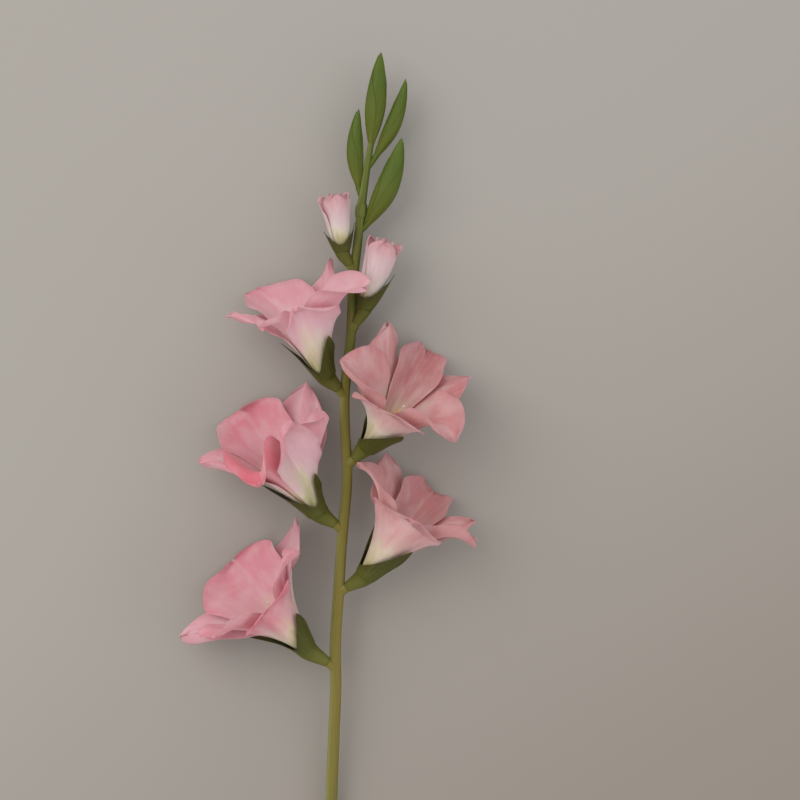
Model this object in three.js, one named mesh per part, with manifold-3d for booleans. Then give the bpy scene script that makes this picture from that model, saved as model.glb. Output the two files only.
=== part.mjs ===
// A gladiolus flower spike, cut and lying on its back: one stem, five open florets, two half-open
// ones and four closed buds. +Y runs from the cut end to the tip, +X to the right and +Z up. Every
// place is given in the spike's own frame, whose origin is on the surface under the centre of the
// cut end, and the last lines move the whole spike so that its origin is under its middle.
import * as THREE from "three";
import { mergeVertices } from "three/addons/utils/BufferGeometryUtils.js";
import Module from "manifold-3d";

const wasm = await Module();
wasm.setup();

// ---------------------------------------------------------------- driving dimensions, in mm
const PETAL_THICKNESS = 0.8;
const LAYER_GAP = 0.75; // from the floret's middle sheet to the middle of an inner or outer petal
const THROAT_RADIUS = 5; // where the six petals leave the tube
const FUNNEL_ANGLE = 14; // degrees, how fast the petals leave the axis at first
const FURLED_ANGLE = 22; // the same in a half-open floret
const FURLED_RADIUS = 3.1;
const FURLED_TURN = 6; // degrees, how far a furled petal leans out at its tip
const FLOOR_SOFTNESS = 3; // how gently a petal that meets the surface flattens on it
const FLOOR_CLEARANCE = -0.8; // lowest place of the floret's middle sheet above the surface
const SPATHE_OFFSET = 2.6; // from the middle sheet out to the middle of the green spathe
const SPATHE_WALL = 0.9;
const SPATHE_MOUTH = -0.05; // where the spathe opens, along the middle sheet from the throat
const SPATHE_FLARE = 1.5; // how much further out the spathe's points stand
const STUB_RADIUS = 2.9; // the stem's side branch, and the spathe's narrow end
const STUB_ROOT_RADIUS = 3.3;
const STUB_LENGTH = 8.5; // from the stem's centreline
const TUBE_LENGTH = 8;
const TUBE_RADIUS = 5.1;
const TUBE_BORE = 4.1;
const TUBE_FLOOR = 1.3;
const TOUCHING_GAP = 0.3;
const FILAMENT_RADIUS = 0.55;
const ANTHER_RADIUS = 0.95;

// ---------------------------------------------------------------- colours
const finish = (color, roughness) => new THREE.MeshStandardMaterial({ color, roughness, metalness: 0 });
const STEM_GREEN = finish(0x6f7631, 0.5);
const SPATHE_GREEN = finish(0x5d6a2a, 0.5);
const BUD_GREEN = finish(0x5f7d33, 0.45);
const PETAL_PINK = finish(0xe39aa5, 0.6);
const TUBE_CREAM = finish(0xd9d2a0, 0.6);
const STAMEN_CREAM = finish(0xe6cf8f, 0.6);

// ---------------------------------------------------------------- the spike, laid out
// The stem's centreline from the cut end up: x, y, z and radius.
const STEM = [
  [0, 0, 4.0, 4.0],
  [0, 25, 4.0, 4.0],
  [0, 55, 5.4, 3.95],
  [0.6, 113, 10.4, 3.9],
  [2.2, 153, 15.0, 3.8],
  [3.6, 185, 18.8, 3.7],
  [3.4, 205, 21.2, 3.7],
  [3.8, 222, 22.4, 3.6],
  [5.6, 248, 23.2, 3.6],
  [7.0, 270, 23.6, 3.5],
  [8.6, 291, 23.8, 3.5],
  [10.8, 315, 24.2, 3.45],
  [11.2, 332, 24.4, 3.45],
  [9.8, 354, 24.2, 3.35],
  [9.6, 376, 23.8, 3.3],
  [11.4, 397, 23.4, 3.25],
  [13.8, 418, 23.0, 3.2],
  [14.4, 438, 22.6, 3.15],
  [15.6, 456, 22.2, 3.1],
  [17.9, 476, 21.8, 3.0],
  [19.6, 490.5, 21.6, 3.0],
  [20.0, 494, 21.6, 3.8],
  [20.5, 500, 21.5, 3.8],
  [20.9, 503.5, 21.5, 2.8],
  [24.0, 525, 21.6, 2.3],
  [26.6, 541, 21.9, 2.0],
];
const STEM_SIDES = 10;

// A floret: where its branch leaves the stem, where its throat is, the direction its mouth faces
// (degrees round from +X and up from the surface), and its petals in order round the mouth. A petal
// has its tip (mm from the throat) and its turn there (degrees from the axis: 90 is square to it and
// more rolls it back), its span (1 reaches the next petal's middle), its lift (mm its free end
// stands off) and its outline: a larger point keeps it broad for longer, a larger taper sharpens it.
// A spathe point has its place round the mouth (in petals), its reach along them and its width.
const petal = (x, y, z, turn, span = 0.9, lift = 2, point = 2.2, taper = 0.6) => ({
  tip: new THREE.Vector3(x, y, z),
  turn,
  span,
  lift,
  point,
  taper,
});

const OPEN_FLORETS = [
  {
    name: "floret_1",
    joint: [3.3, 199, 20.7],
    throat: [-17.6, 216, 28.5],
    facing: [128, 22],
    petals: [
      petal(0, 57, 25, 120, 0.65, 2, 1.8, 0.8),
      petal(-22, 20, 46, 165, 0.95),
      petal(-54, 2, 27, 85, 0.9),
      petal(-83, 4.5, -8, 95, 0.9, 1, 1.5, 0.85),
      petal(-47, 53, -37, 75, 0.95, 0.5),
      petal(-8, 82, -14, 60, 0.9, 1, 1.4, 0.8),
    ],
    points: [
      [2.5, 0.42, 1.1],
      [0.45, 0.34, 1.1],
      [4.5, 0.12, 2.2],
    ],
  },
  {
    name: "floret_2",
    joint: [5.8, 248, 22.7],
    throat: [25.4, 263, 29.7],
    facing: [50, 20],
    petals: [
      petal(65, 14, 22, 100, 0.85, 2, 1.4, 0.85),
      petal(27, 33, 43, 150, 0.9),
      petal(-9, 66, 16, 110, 0.7, 2, 1.6, 0.8),
      petal(15, 79, -14, 70, 0.85, 1),
      petal(42, 51, -38, 75, 0.95, 0.5),
      petal(72, 34, -8, 90, 0.85, 1, 1.4, 0.85),
    ],
    points: [
      [0.45, 0.42, 1.1],
      [2.6, 0.34, 1.1],
      [4.5, 0.12, 2.2],
    ],
  },
  {
    name: "floret_3",
    joint: [8.4, 289, 23.7],
    throat: [-9.8, 304, 29.7],
    facing: [124, 22],
    petals: [
      petal(13, 59, 10, 60, 0.85),
      petal(-14, 60, 46, 80, 0.9),
      petal(-29, 18, 44, 168, 0.95),
      petal(-79, 31, 0, 100, 0.9, 2, 1.8, 0.7),
      petal(-51, 63, -38, 80, 0.95, 0.5),
      petal(-8, 84, -18, 70, 0.9, 1),
    ],
    points: [
      [2.5, 0.42, 1.1],
      [0.45, 0.34, 1.1],
      [4.5, 0.12, 2.2],
    ],
  },
  {
    name: "floret_4",
    joint: [11.2, 331, 24.2],
    throat: [26.7, 346, 32.5],
    facing: [48, 34],
    petals: [
      petal(51, 0, 38, 115, 0.85),
      petal(5, 22, 46, 150, 0.9),
      petal(-22, 49, 24, 95, 0.95),
      petal(13, 80, -4, 70, 0.9, 1),
      petal(36, 62, -41, 75, 0.95, 0.5),
      petal(67, 46, -8, 90, 0.85, 1, 1.5, 0.8),
    ],
    points: [
      [0.35, 0.42, 1.1],
      [2.5, 0.34, 1.1],
      [4.5, 0.12, 2.2],
    ],
  },
  {
    name: "floret_5",
    joint: [9.6, 376, 23.7],
    throat: [-3.9, 393, 31.5],
    facing: [115, 25],
    petals: [
      petal(28, 48, 18, 130, 0.9),
      petal(-14, 38, 44, 140, 0.9),
      petal(-36, 22, 30, 110, 0.85, 2, 1.8, 0.8),
      petal(-66, 37, -2, 105, 0.8, 1, 1.4, 0.85),
      petal(-46, 54, -40, 75, 0.95, 0.5),
      petal(2, 76, -16, 60, 0.6, 1, 1.3, 0.9),
    ],
    points: [
      [2.5, 0.42, 1.1],
      [0.45, 0.36, 1.1],
      [4.5, 0.12, 2.2],
    ],
  },
];

// A half-open floret keeps its petals furled round its axis: an outer roll of them and an inner one.
const HALF_OPEN = [
  {
    name: "half_open_1",
    joint: [13.6, 418, 22.9],
    throat: [23.4, 436, 26.9],
    facing: [73, 8],
    length: 44,
    mouth: 8.8,
    points: [
      [0, 0.55, 2.4],
      [3, 0.25, 2],
    ],
  },
  {
    name: "half_open_2",
    joint: [15.6, 456, 22.2],
    throat: [7.6, 473, 25.9],
    facing: [98, 8],
    length: 35,
    mouth: 7.4,
    points: [
      [3, 0.34, 2.2],
      [0, 0.42, 1.9],
    ],
  },
];

// A closed bud: its base, its tip, its width and depth at the widest place, and how far it bows out.
const CLOSED_BUDS = [
  { name: "bud_1", base: [22.8, 486, 22.6], tip: [46.8, 544, 28], width: 14.5, depth: 11.5, bow: 3.4 },
  { name: "bud_2", base: [18.9, 510, 21.2], tip: [18.7, 563.5, 23], width: 10.6, depth: 9, bow: -2.6 },
  { name: "bud_3", base: [28.2, 530, 20.8], tip: [49.4, 583, 24], width: 10, depth: 9, bow: 3.4 },
  { name: "tip_bud", base: [26.4, 538, 21.8], tip: [33.2, 600, 26], width: 13, depth: 10.6, bow: 0.2 },
];

// ---------------------------------------------------------------- small helpers
const vec = (p) => new THREE.Vector3(...p);
const radians = THREE.MathUtils.degToRad;
const mix = THREE.MathUtils.lerp;

// A smooth closed curve through values, one for each petal: u counts petals round the mouth.
function around(values, u) {
  const n = values.length;
  const i = Math.floor(u);
  const f = u - i;
  const [a, b, c, d] = [-1, 0, 1, 2].map((k) => values[(((i + k) % n) + n) % n]);
  return b + 0.5 * f * (c - a + f * (2 * a - 5 * b + 4 * c - d + f * (3 * (b - c) + d - a)));
}

function bezier(a, b, c, d, s) {
  const r = 1 - s;
  return new THREE.Vector3()
    .addScaledVector(a, r * r * r)
    .addScaledVector(b, 3 * r * r * s)
    .addScaledVector(c, 3 * r * s * s)
    .addScaledVector(d, s * s * s);
}

// A closed solid from points and triangles, turned so that its faces look outwards.
function geometryOf(points, faces) {
  const volume = faces.reduce((sum, [a, b, c]) => {
    const normal = new THREE.Vector3().crossVectors(points[b], points[c]);
    return sum + points[a].dot(normal);
  }, 0);
  const outward = volume > 0 ? faces : faces.map(([a, b, c]) => [a, c, b]);
  const positions = new Float32Array(points.flatMap((p) => [p.x, p.y, p.z]));
  const geometry = new THREE.BufferGeometry();
  geometry.setAttribute("position", new THREE.BufferAttribute(positions, 3));
  geometry.setIndex(outward.flat());
  return geometry;
}

// A thin solid from two grids of the same size, joined along all four edges.
function sheetSolid(top, bottom) {
  const rows = top.length;
  const columns = top[0].length;
  const points = [...top.flat(), ...bottom.flat()];
  const at = (side, j, i) => side * rows * columns + j * columns + i;
  const faces = [];
  const quad = (a, b, c, d) => faces.push([a, b, c], [a, c, d]);
  for (let j = 0; j + 1 < rows; j++)
    for (let i = 0; i + 1 < columns; i++) {
      quad(at(0, j, i), at(0, j, i + 1), at(0, j + 1, i + 1), at(0, j + 1, i));
      quad(at(1, j, i), at(1, j + 1, i), at(1, j + 1, i + 1), at(1, j, i + 1));
    }
  for (let i = 0; i + 1 < columns; i++) {
    quad(at(0, 0, i), at(1, 0, i), at(1, 0, i + 1), at(0, 0, i + 1));
    quad(at(0, rows - 1, i), at(0, rows - 1, i + 1), at(1, rows - 1, i + 1), at(1, rows - 1, i));
  }
  for (let j = 0; j + 1 < rows; j++) {
    quad(at(0, j, 0), at(0, j + 1, 0), at(1, j + 1, 0), at(1, j, 0));
    const last = columns - 1;
    quad(at(0, j, last), at(1, j, last), at(1, j + 1, last), at(0, j + 1, last));
  }
  return geometryOf(points, faces);
}

// A closed solid from rings of points, each ring joined to the next and both ends capped.
function ringSolid(rings, first, last) {
  const n = rings[0].length;
  const points = [...rings.flat(), first, last];
  const faces = [];
  for (let j = 0; j + 1 < rings.length; j++)
    for (let i = 0; i < n; i++) {
      const [a, b] = [j * n + i, j * n + ((i + 1) % n)];
      faces.push([a, b, b + n], [a, b + n, a + n]);
    }
  const top = (rings.length - 1) * n;
  for (let i = 0; i < n; i++) {
    faces.push([points.length - 2, (i + 1) % n, i]);
    faces.push([points.length - 1, top + i, top + ((i + 1) % n)]);
  }
  return geometryOf(points, faces);
}

function average(points) {
  return points.reduce((sum, p) => sum.add(p), new THREE.Vector3()).divideScalar(points.length);
}

// manifold-3d's solid of a closed geometry, and back.
function manifoldOf(geometry) {
  const bare = geometry.clone();
  bare.deleteAttribute("normal");
  bare.deleteAttribute("uv");
  const merged = mergeVertices(bare, 1e-4);
  return new wasm.Manifold(
    new wasm.Mesh({
      numProp: 3,
      vertProperties: merged.attributes.position.array,
      triVerts: new Uint32Array(merged.index.array),
    }),
  );
}

function geometryOfManifold(solid) {
  const mesh = solid.getMesh();
  const geometry = new THREE.BufferGeometry();
  geometry.setAttribute("position", new THREE.BufferAttribute(mesh.vertProperties, 3));
  geometry.setIndex(new THREE.BufferAttribute(mesh.triVerts, 1));
  return geometry;
}

function joined(geometries) {
  return geometryOfManifold(geometries.map(manifoldOf).reduce((a, b) => a.add(b)));
}

function carved(geometry, cutter) {
  return geometryOfManifold(manifoldOf(geometry).subtract(manifoldOf(cutter)));
}

// Rings of a round rod along points, with a radius at each.
function rod(points, radii, sides) {
  let side = new THREE.Vector3(1, 0, 0);
  const rings = points.map((p, k) => {
    const before = points[Math.max(0, k - 1)];
    const after = points[Math.min(points.length - 1, k + 1)];
    const tangent = new THREE.Vector3().subVectors(after, before).normalize();
    side = side.clone().addScaledVector(tangent, -side.dot(tangent)).normalize();
    const up = new THREE.Vector3().crossVectors(side, tangent).negate();
    return Array.from({ length: sides }, (_, i) => {
      const angle = (2 * Math.PI * i) / sides;
      return p
        .clone()
        .addScaledVector(side, -radii[k] * Math.cos(angle))
        .addScaledVector(up, radii[k] * Math.sin(angle));
    });
  });
  return ringSolid(rings, average(rings[0]), average(rings.at(-1)));
}

// ---------------------------------------------------------------- the floret's middle sheet
// Six petals lie in two layers on one smooth funnel, so that they never cut each other. The funnel
// starts as a ring at the throat and runs out to a closed curve through the petals' tips.
class Funnel {
  constructor({ throat, facing, petals, spread = THROAT_RADIUS, leaving = FUNNEL_ANGLE }) {
    const [round, up] = facing.map(radians);
    this.throat = vec(throat);
    this.spread = spread;
    this.leaving = radians(leaving);
    this.axis = new THREE.Vector3(Math.cos(up) * Math.cos(round), Math.cos(up) * Math.sin(round), Math.sin(up));
    this.side = new THREE.Vector3(Math.sin(round), -Math.cos(round), 0);
    this.front = new THREE.Vector3().crossVectors(this.side, this.axis);
    this.petals = petals;
  }

  outward(angle) {
    return this.side.clone().multiplyScalar(Math.cos(angle)).addScaledVector(this.front, Math.sin(angle));
  }

  // The free end of the sheet at u petals round the mouth, from the throat.
  reach(u) {
    const along = (axis) => around(this.petals.map((p) => p.tip[axis]), u);
    return new THREE.Vector3(along("x"), along("y"), along("z"));
  }

  middle(u, s) {
    const tip = this.reach(u);
    const angle = Math.atan2(tip.dot(this.front), tip.dot(this.side));
    const out = this.outward(angle);
    const turn = radians(around(this.petals.map((p) => p.turn), u));
    const length = tip.length();
    const start = out.clone().multiplyScalar(this.spread);
    const first = start
      .clone()
      .addScaledVector(this.axis, 0.36 * length * Math.cos(this.leaving))
      .addScaledVector(out, 0.36 * length * Math.sin(this.leaving));
    const second = tip
      .clone()
      .addScaledVector(this.axis, -0.34 * length * Math.cos(turn))
      .addScaledVector(out, -0.34 * length * Math.sin(turn));
    const place = bezier(start, first, second, tip, s).add(this.throat);
    const height = (place.z - FLOOR_CLEARANCE) / FLOOR_SOFTNESS;
    place.z = FLOOR_CLEARANCE + FLOOR_SOFTNESS * (height > 30 ? height : Math.log1p(Math.exp(height)));
    return place;
  }

  // The direction square to the sheet, on the side of the floret's axis.
  inward(u, s) {
    const e = 0.01;
    const acrossSheet = this.middle(u + e, s).sub(this.middle(u - e, s));
    const alongSheet = this.middle(u, s + e).sub(this.middle(u, s - e));
    return acrossSheet.cross(alongSheet).normalize();
  }

  offset(u, s, distance) {
    return this.middle(u, s).addScaledVector(this.inward(u, s), distance);
  }
}

// ---------------------------------------------------------------- petals
const PETAL_ROWS = 8;
const PETAL_COLUMNS = 6;
const ROLL_COLUMNS = 15;
const SHOULDER = 0.45; // how far along a petal starts to narrow

// How wide a petal is at s along it, as a share of its span.
function petalWidth(s, point, taper) {
  const x = Math.max(0, s - SHOULDER) / (1 - SHOULDER);
  return Math.max(0.1, Math.pow(1 - Math.pow(x, point), taper));
}

function petalGeometry(funnel, index, shape, columns = PETAL_COLUMNS) {
  const { inner, span, lift, point, taper } = shape;
  const side = inner ? 1 : -1;
  const grids = [1, -1].map((face) =>
    Array.from({ length: PETAL_ROWS + 1 }, (_, j) => {
      const s = 1 - Math.pow(1 - j / PETAL_ROWS, 1.3);
      const half = span * petalWidth(s, point, taper);
      return Array.from({ length: columns + 1 }, (_, i) => {
        const across = (2 * i) / columns - 1;
        const off = side * (LAYER_GAP + lift * s * s * s) + (face * PETAL_THICKNESS) / 2;
        return funnel.offset(index + across * half, s, off);
      });
    }),
  );
  return sheetSolid(grids[0], grids[1]);
}

// ---------------------------------------------------------------- spathe, tube and stamens
const SPATHE_COLUMNS = 18;
const SPATHE_LOWER_ROWS = 4;
const SPATHE_UPPER_ROWS = 3;
const SPATHE_NOTCH = 0.01;

// How far up the sheet the spathe reaches at u: a low notch between its long green points.
function spatheTop(points, u) {
  return points.reduce((top, [at, reach, width]) => {
    const apart = Math.abs(((((u - at) % 6) + 9) % 6) - 3);
    return top + reach * Math.pow(Math.max(0, 1 - apart / width), 1.25);
  }, SPATHE_NOTCH);
}

function branchStart(joint, throat) {
  const along = vec(throat).sub(vec(joint)).normalize();
  return vec(joint).addScaledVector(along, STUB_LENGTH + TOUCHING_GAP);
}

function spatheGeometry(funnel, joint, points) {
  const start = branchStart(joint, funnel.throat.toArray());
  const mouth = average([0, 1, 2, 3, 4, 5].map((u) => funnel.middle(u, SPATHE_MOUTH)));
  const along = mouth.clone().sub(start);
  const bend = start.clone().addScaledVector(along, 0.45);
  const before = mouth.clone().addScaledVector(funnel.axis, -0.35 * along.length());
  const columns = Array.from({ length: SPATHE_COLUMNS }, (_, i) => (6 * i) / SPATHE_COLUMNS);
  const wide = funnel.spread + SPATHE_OFFSET;
  const lower = (wall) =>
    Array.from({ length: SPATHE_LOWER_ROWS }, (_, j) => {
      const s = j / SPATHE_LOWER_ROWS;
      const centre = bezier(start, bend, before, mouth, s);
      const ahead = bezier(start, bend, before, mouth, s + 0.02).sub(centre).normalize();
      const side = funnel.side.clone().addScaledVector(ahead, -funnel.side.dot(ahead)).normalize();
      const front = new THREE.Vector3().crossVectors(side, ahead);
      const radius = mix(STUB_RADIUS, wide, Math.pow(s, 0.8)) + wall;
      return columns.map((u) => {
        const tip = funnel.reach(u);
        const angle = Math.atan2(tip.dot(funnel.front), tip.dot(funnel.side));
        return centre
          .clone()
          .addScaledVector(side, radius * Math.cos(angle))
          .addScaledVector(front, radius * Math.sin(angle));
      });
    });
  const upper = (wall) =>
    Array.from({ length: SPATHE_UPPER_ROWS + 1 }, (_, j) =>
      columns.map((u) => {
        const s = mix(SPATHE_MOUTH, spatheTop(points, u), j / SPATHE_UPPER_ROWS);
        const flare = SPATHE_FLARE * Math.pow(j / SPATHE_UPPER_ROWS, 2) * Math.max(0, s / 0.4);
        return funnel.offset(u, s, -SPATHE_OFFSET - flare - wall);
      }),
    );
  const outside = [...lower(SPATHE_WALL / 2), ...upper(SPATHE_WALL / 2)];
  const inside = [...lower(-SPATHE_WALL / 2).slice(1), ...upper(-SPATHE_WALL / 2)].reverse();
  const rings = [...outside, ...inside];
  return ringSolid(rings, average(rings[0]), average(rings.at(-1)));
}

// Turned parts are drawn along +Y and then stood along the floret's axis, with the throat at 0.
function alongAxis(geometry, funnel) {
  const turn = new THREE.Quaternion().setFromUnitVectors(new THREE.Vector3(0, 1, 0), funnel.axis);
  return geometry.applyQuaternion(turn).translate(...funnel.throat.toArray());
}

function tubeGeometry(funnel) {
  const bottom = -TUBE_LENGTH;
  const profile = [
    [0, bottom],
    [2.6, bottom],
    [TUBE_RADIUS, bottom / 2],
    [TUBE_RADIUS, -1.2],
    [TUBE_BORE, -1.2],
    [TUBE_BORE, bottom / 2],
    [2.2, bottom + TUBE_FLOOR],
    [0, bottom + TUBE_FLOOR],
  ].map(([r, y]) => new THREE.Vector2(r, y));
  return alongAxis(new THREE.LatheGeometry(profile, 12), funnel);
}

function stamensGeometry(funnel) {
  const floor = TUBE_FLOOR - TUBE_LENGTH + TOUCHING_GAP;
  const base = new THREE.CylinderGeometry(1.6, 1.2, 2.4, 8).translate(0, floor + 1.2, 0);
  const pieces = [base];
  const strand = (angle, reach, bow, thick, end) => {
    const steps = Array.from({ length: 5 }, (_, k) => k / 4);
    const places = steps.map((s) => {
      const r = 0.8 + bow * s * s;
      return new THREE.Vector3(r * Math.cos(angle), floor + 1 + (reach - floor - 1) * s, r * Math.sin(angle));
    });
    return rod(places, steps.map((s) => (s > 0.7 ? end : thick)), 6);
  };
  for (let k = 0; k < 3; k++)
    pieces.push(strand(radians(30 + 120 * k), 32, 3.2, FILAMENT_RADIUS, ANTHER_RADIUS));
  pieces.push(strand(radians(270), 38, 0.4, FILAMENT_RADIUS, FILAMENT_RADIUS));
  return alongAxis(joined(pieces), funnel);
}

// ---------------------------------------------------------------- buds and stem
const BUD_ROWS = 9;
const BUD_SIDES = 10;

// A pointed bud on a bowed line, with a little of its base hidden against the stem.
function budGeometry({ base, tip, width, depth, bow }) {
  const start = vec(base);
  const along = vec(tip).sub(start);
  const ahead = along.clone().normalize();
  const side = new THREE.Vector3(ahead.y, -ahead.x, 0).normalize();
  const up = new THREE.Vector3().crossVectors(side, ahead);
  const rings = Array.from({ length: BUD_ROWS }, (_, j) => {
    const s = (j + 0.1) / (BUD_ROWS - 0.8);
    const swell = 0.2 * (1 - s) + Math.pow(Math.sin(Math.PI * Math.pow(s, 0.85)), 0.85);
    const centre = start.clone().addScaledVector(along, s);
    centre.addScaledVector(side, bow * Math.sin(Math.PI * s));
    return Array.from({ length: BUD_SIDES }, (_, i) => {
      const angle = (2 * Math.PI * i) / BUD_SIDES;
      return centre
        .clone()
        .addScaledVector(side, (-width / 2) * swell * 0.92 * Math.cos(angle))
        .addScaledVector(up, (depth / 2) * swell * 0.92 * Math.sin(angle));
    });
  });
  return ringSolid(rings, average(rings[0]), vec(tip));
}

// The stem with a short branch towards each floret. "grown" makes it that much thicker all round,
// to cut its place out of a spathe or bud that sits against it.
function stemGeometry(florets, grown = 0) {
  const line = STEM.map(([x, y, z]) => new THREE.Vector3(x, y, z));
  const pieces = [rod(line, STEM.map((p) => p[3] + grown), STEM_SIDES)];
  for (const { joint, throat } of florets) {
    const along = vec(throat).sub(vec(joint)).normalize();
    const end = vec(joint).addScaledVector(along, STUB_LENGTH + grown);
    pieces.push(rod([vec(joint), end], [STUB_ROOT_RADIUS, STUB_RADIUS], STEM_SIDES));
  }
  return joined(pieces);
}

// ---------------------------------------------------------------- building
const spike = new THREE.Group();
function add(name, geometry, material) {
  const mesh = new THREE.Mesh(geometry, material);
  mesh.name = name;
  spike.add(mesh);
  return mesh;
}

const florets = [...OPEN_FLORETS, ...HALF_OPEN];
const sleeve = stemGeometry(florets, TOUCHING_GAP);
add("stem", stemGeometry(florets), STEM_GREEN);

for (const floret of OPEN_FLORETS) {
  const funnel = new Funnel(floret);
  const spathe = spatheGeometry(funnel, floret.joint, floret.points);
  add(`${floret.name}_spathe`, carved(spathe, sleeve), SPATHE_GREEN);
  add(`${floret.name}_tube`, tubeGeometry(funnel), TUBE_CREAM);
  add(`${floret.name}_stamens`, stamensGeometry(funnel), STAMEN_CREAM);
  floret.petals.forEach((one, k) => {
    const shape = petalGeometry(funnel, k, { ...one, inner: k % 2 === 0 });
    add(`${floret.name}_petal_${k + 1}`, shape, PETAL_PINK);
  });
}

for (const half of HALF_OPEN) {
  const [round, up] = half.facing.map(radians);
  const axis = new THREE.Vector3(Math.cos(up) * Math.cos(round), Math.cos(up) * Math.sin(round), Math.sin(up));
  const side = new THREE.Vector3(Math.sin(round), -Math.cos(round), 0);
  const front = new THREE.Vector3().crossVectors(side, axis);
  const petals = Array.from({ length: 6 }, (_, k) => {
    const angle = (Math.PI * k) / 3;
    const tip = axis
      .clone()
      .multiplyScalar(half.length)
      .addScaledVector(side, half.mouth * Math.cos(angle))
      .addScaledVector(front, half.mouth * Math.sin(angle));
    return { tip, turn: FURLED_TURN };
  });
  const funnel = new Funnel({ ...half, petals, spread: FURLED_RADIUS, leaving: FURLED_ANGLE });
  const spathe = spatheGeometry(funnel, half.joint, half.points);
  add(`${half.name}_spathe`, carved(spathe, sleeve), SPATHE_GREEN);
  const roll = { span: 2.6, lift: 0.8, point: 6, taper: 0.6 };
  const outer = petalGeometry(funnel, 1.5, { ...roll, inner: false }, ROLL_COLUMNS);
  const inner = petalGeometry(funnel, 4.5, { ...roll, inner: true }, ROLL_COLUMNS);
  add(`${half.name}_outer_petals`, outer, PETAL_PINK);
  add(`${half.name}_inner_petals`, inner, PETAL_PINK);
}

for (const bud of CLOSED_BUDS) add(bud.name, carved(budGeometry(bud), sleeve), BUD_GREEN);

const box = new THREE.Box3().setFromObject(spike);
const middle = box.getCenter(new THREE.Vector3());
spike.position.set(-middle.x, -middle.y, -box.min.z);
const placed = new THREE.Group();
placed.add(spike);

export default placed;
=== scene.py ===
"""Builds the looks of a cut gladiolus spike that lies on its back on a pale floor.

Lengths in this file are in millimetres, in the spike's own frame: the origin is under the centre of
the cut end, +Y runs along the stem to the tip, +X to the right and +Z up. They become metres in the
object's frame when a mesh is made.
"""

from __future__ import annotations

import logging
import math
from dataclasses import dataclass
from enum import Enum
from typing import Any, Sequence

import bpy
import numpy as np
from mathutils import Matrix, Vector


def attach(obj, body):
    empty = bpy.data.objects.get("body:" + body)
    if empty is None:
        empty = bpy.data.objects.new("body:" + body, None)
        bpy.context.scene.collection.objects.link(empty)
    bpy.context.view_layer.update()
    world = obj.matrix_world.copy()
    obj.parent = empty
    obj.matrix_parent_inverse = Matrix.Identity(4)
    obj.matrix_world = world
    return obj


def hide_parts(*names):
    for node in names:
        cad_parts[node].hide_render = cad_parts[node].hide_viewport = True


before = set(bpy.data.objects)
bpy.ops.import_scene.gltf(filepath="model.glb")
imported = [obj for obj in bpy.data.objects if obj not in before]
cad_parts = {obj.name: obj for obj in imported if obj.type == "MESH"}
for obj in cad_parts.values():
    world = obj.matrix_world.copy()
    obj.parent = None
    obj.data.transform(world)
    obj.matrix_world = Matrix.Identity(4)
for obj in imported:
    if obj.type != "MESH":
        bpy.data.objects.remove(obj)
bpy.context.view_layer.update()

LOG = logging.getLogger("gladiolus")
METRE = 0.001
Array = np.ndarray
Point = tuple[float, float, float]

# The solids' own sizes, which the finished surfaces follow.
LAYER_GAP = 0.75
THROAT_RADIUS = 5.0
FUNNEL_ANGLE = 14.0
FURLED_ANGLE = 22.0
FURLED_RADIUS = 3.1
FURLED_TURN = 6.0
SHOULDER = 0.45
FLOOR_SOFTNESS = 3.0
FLOOR_CLEARANCE = -0.8
SPATHE_OFFSET = 2.6
SPATHE_FLARE = 1.5
SPATHE_NOTCH = 0.01
SPATHE_MOUTH = -0.05
SPATHE_TAPER = 1.7
SPATHE_SLEEVE = 1.7
STUB_RADIUS = 2.9
STUB_ROOT_RADIUS = 3.3
STUB_LENGTH = 8.5
TUBE_LENGTH = 8.0
TUBE_RADIUS = 5.1
TUBE_FOOT_RADIUS = 2.6
TUBE_BORE = 4.1
FOOT_HEIGHT = 4.0

# How far along the spike the stem's skin reaches its last tone.
LAST_TONE_AT = 560.0


# ---------------------------------------------------------------- small helpers


def unit(vector: Array) -> Array:
    """Scales vectors to length one.

    Args:
        vector: One vector, or an array of them along the last axis.

    Returns:
        The same shape, each vector of length one.
    """
    return vector / np.maximum(np.linalg.norm(vector, axis=-1, keepdims=True), 1e-12)


def smooth(low: float, high: float, value: Array) -> Array:
    """Rises smoothly from 0 at low to 1 at high.

    Args:
        low: Where the rise starts.
        high: Where it ends.
        value: Where to read it.

    Returns:
        Numbers from 0 to 1.
    """
    t = np.clip((value - low) / (high - low), 0.0, 1.0)
    return t * t * (3.0 - 2.0 * t)


def stacked(*columns: Array | float) -> Array:
    """Spreads numbers to one shape and puts them side by side.

    Args:
        columns: Arrays or numbers that fit one another.

    Returns:
        One array, with the columns along its last axis.
    """
    return np.stack(np.broadcast_arrays(*columns), axis=-1)


def between(a: Array, b: Array, c: Array, d: Array, f: Array) -> Array:
    """Reads a smooth curve through four points, between the second and the third.

    Args:
        a: The point before.
        b: The point at f = 0.
        c: The point at f = 1.
        d: The point after.
        f: Where to read it.

    Returns:
        The points at f.
    """
    return b + 0.5 * f * (c - a + f * (2 * a - 5 * b + 4 * c - d + f * (3 * (b - c) + d - a)))


def around(values: Array, u: Array) -> Array:
    """Reads a smooth closed curve through values, one for each petal round the mouth.

    Args:
        values: The curve's points, one row for each petal.
        u: Places round the mouth, counted in petals.

    Returns:
        The points at u.
    """
    whole = np.floor(u).astype(int)
    return between(*(values[(whole + k) % len(values)] for k in (-1, 0, 1, 2)), (u - whole)[..., None])


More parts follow.
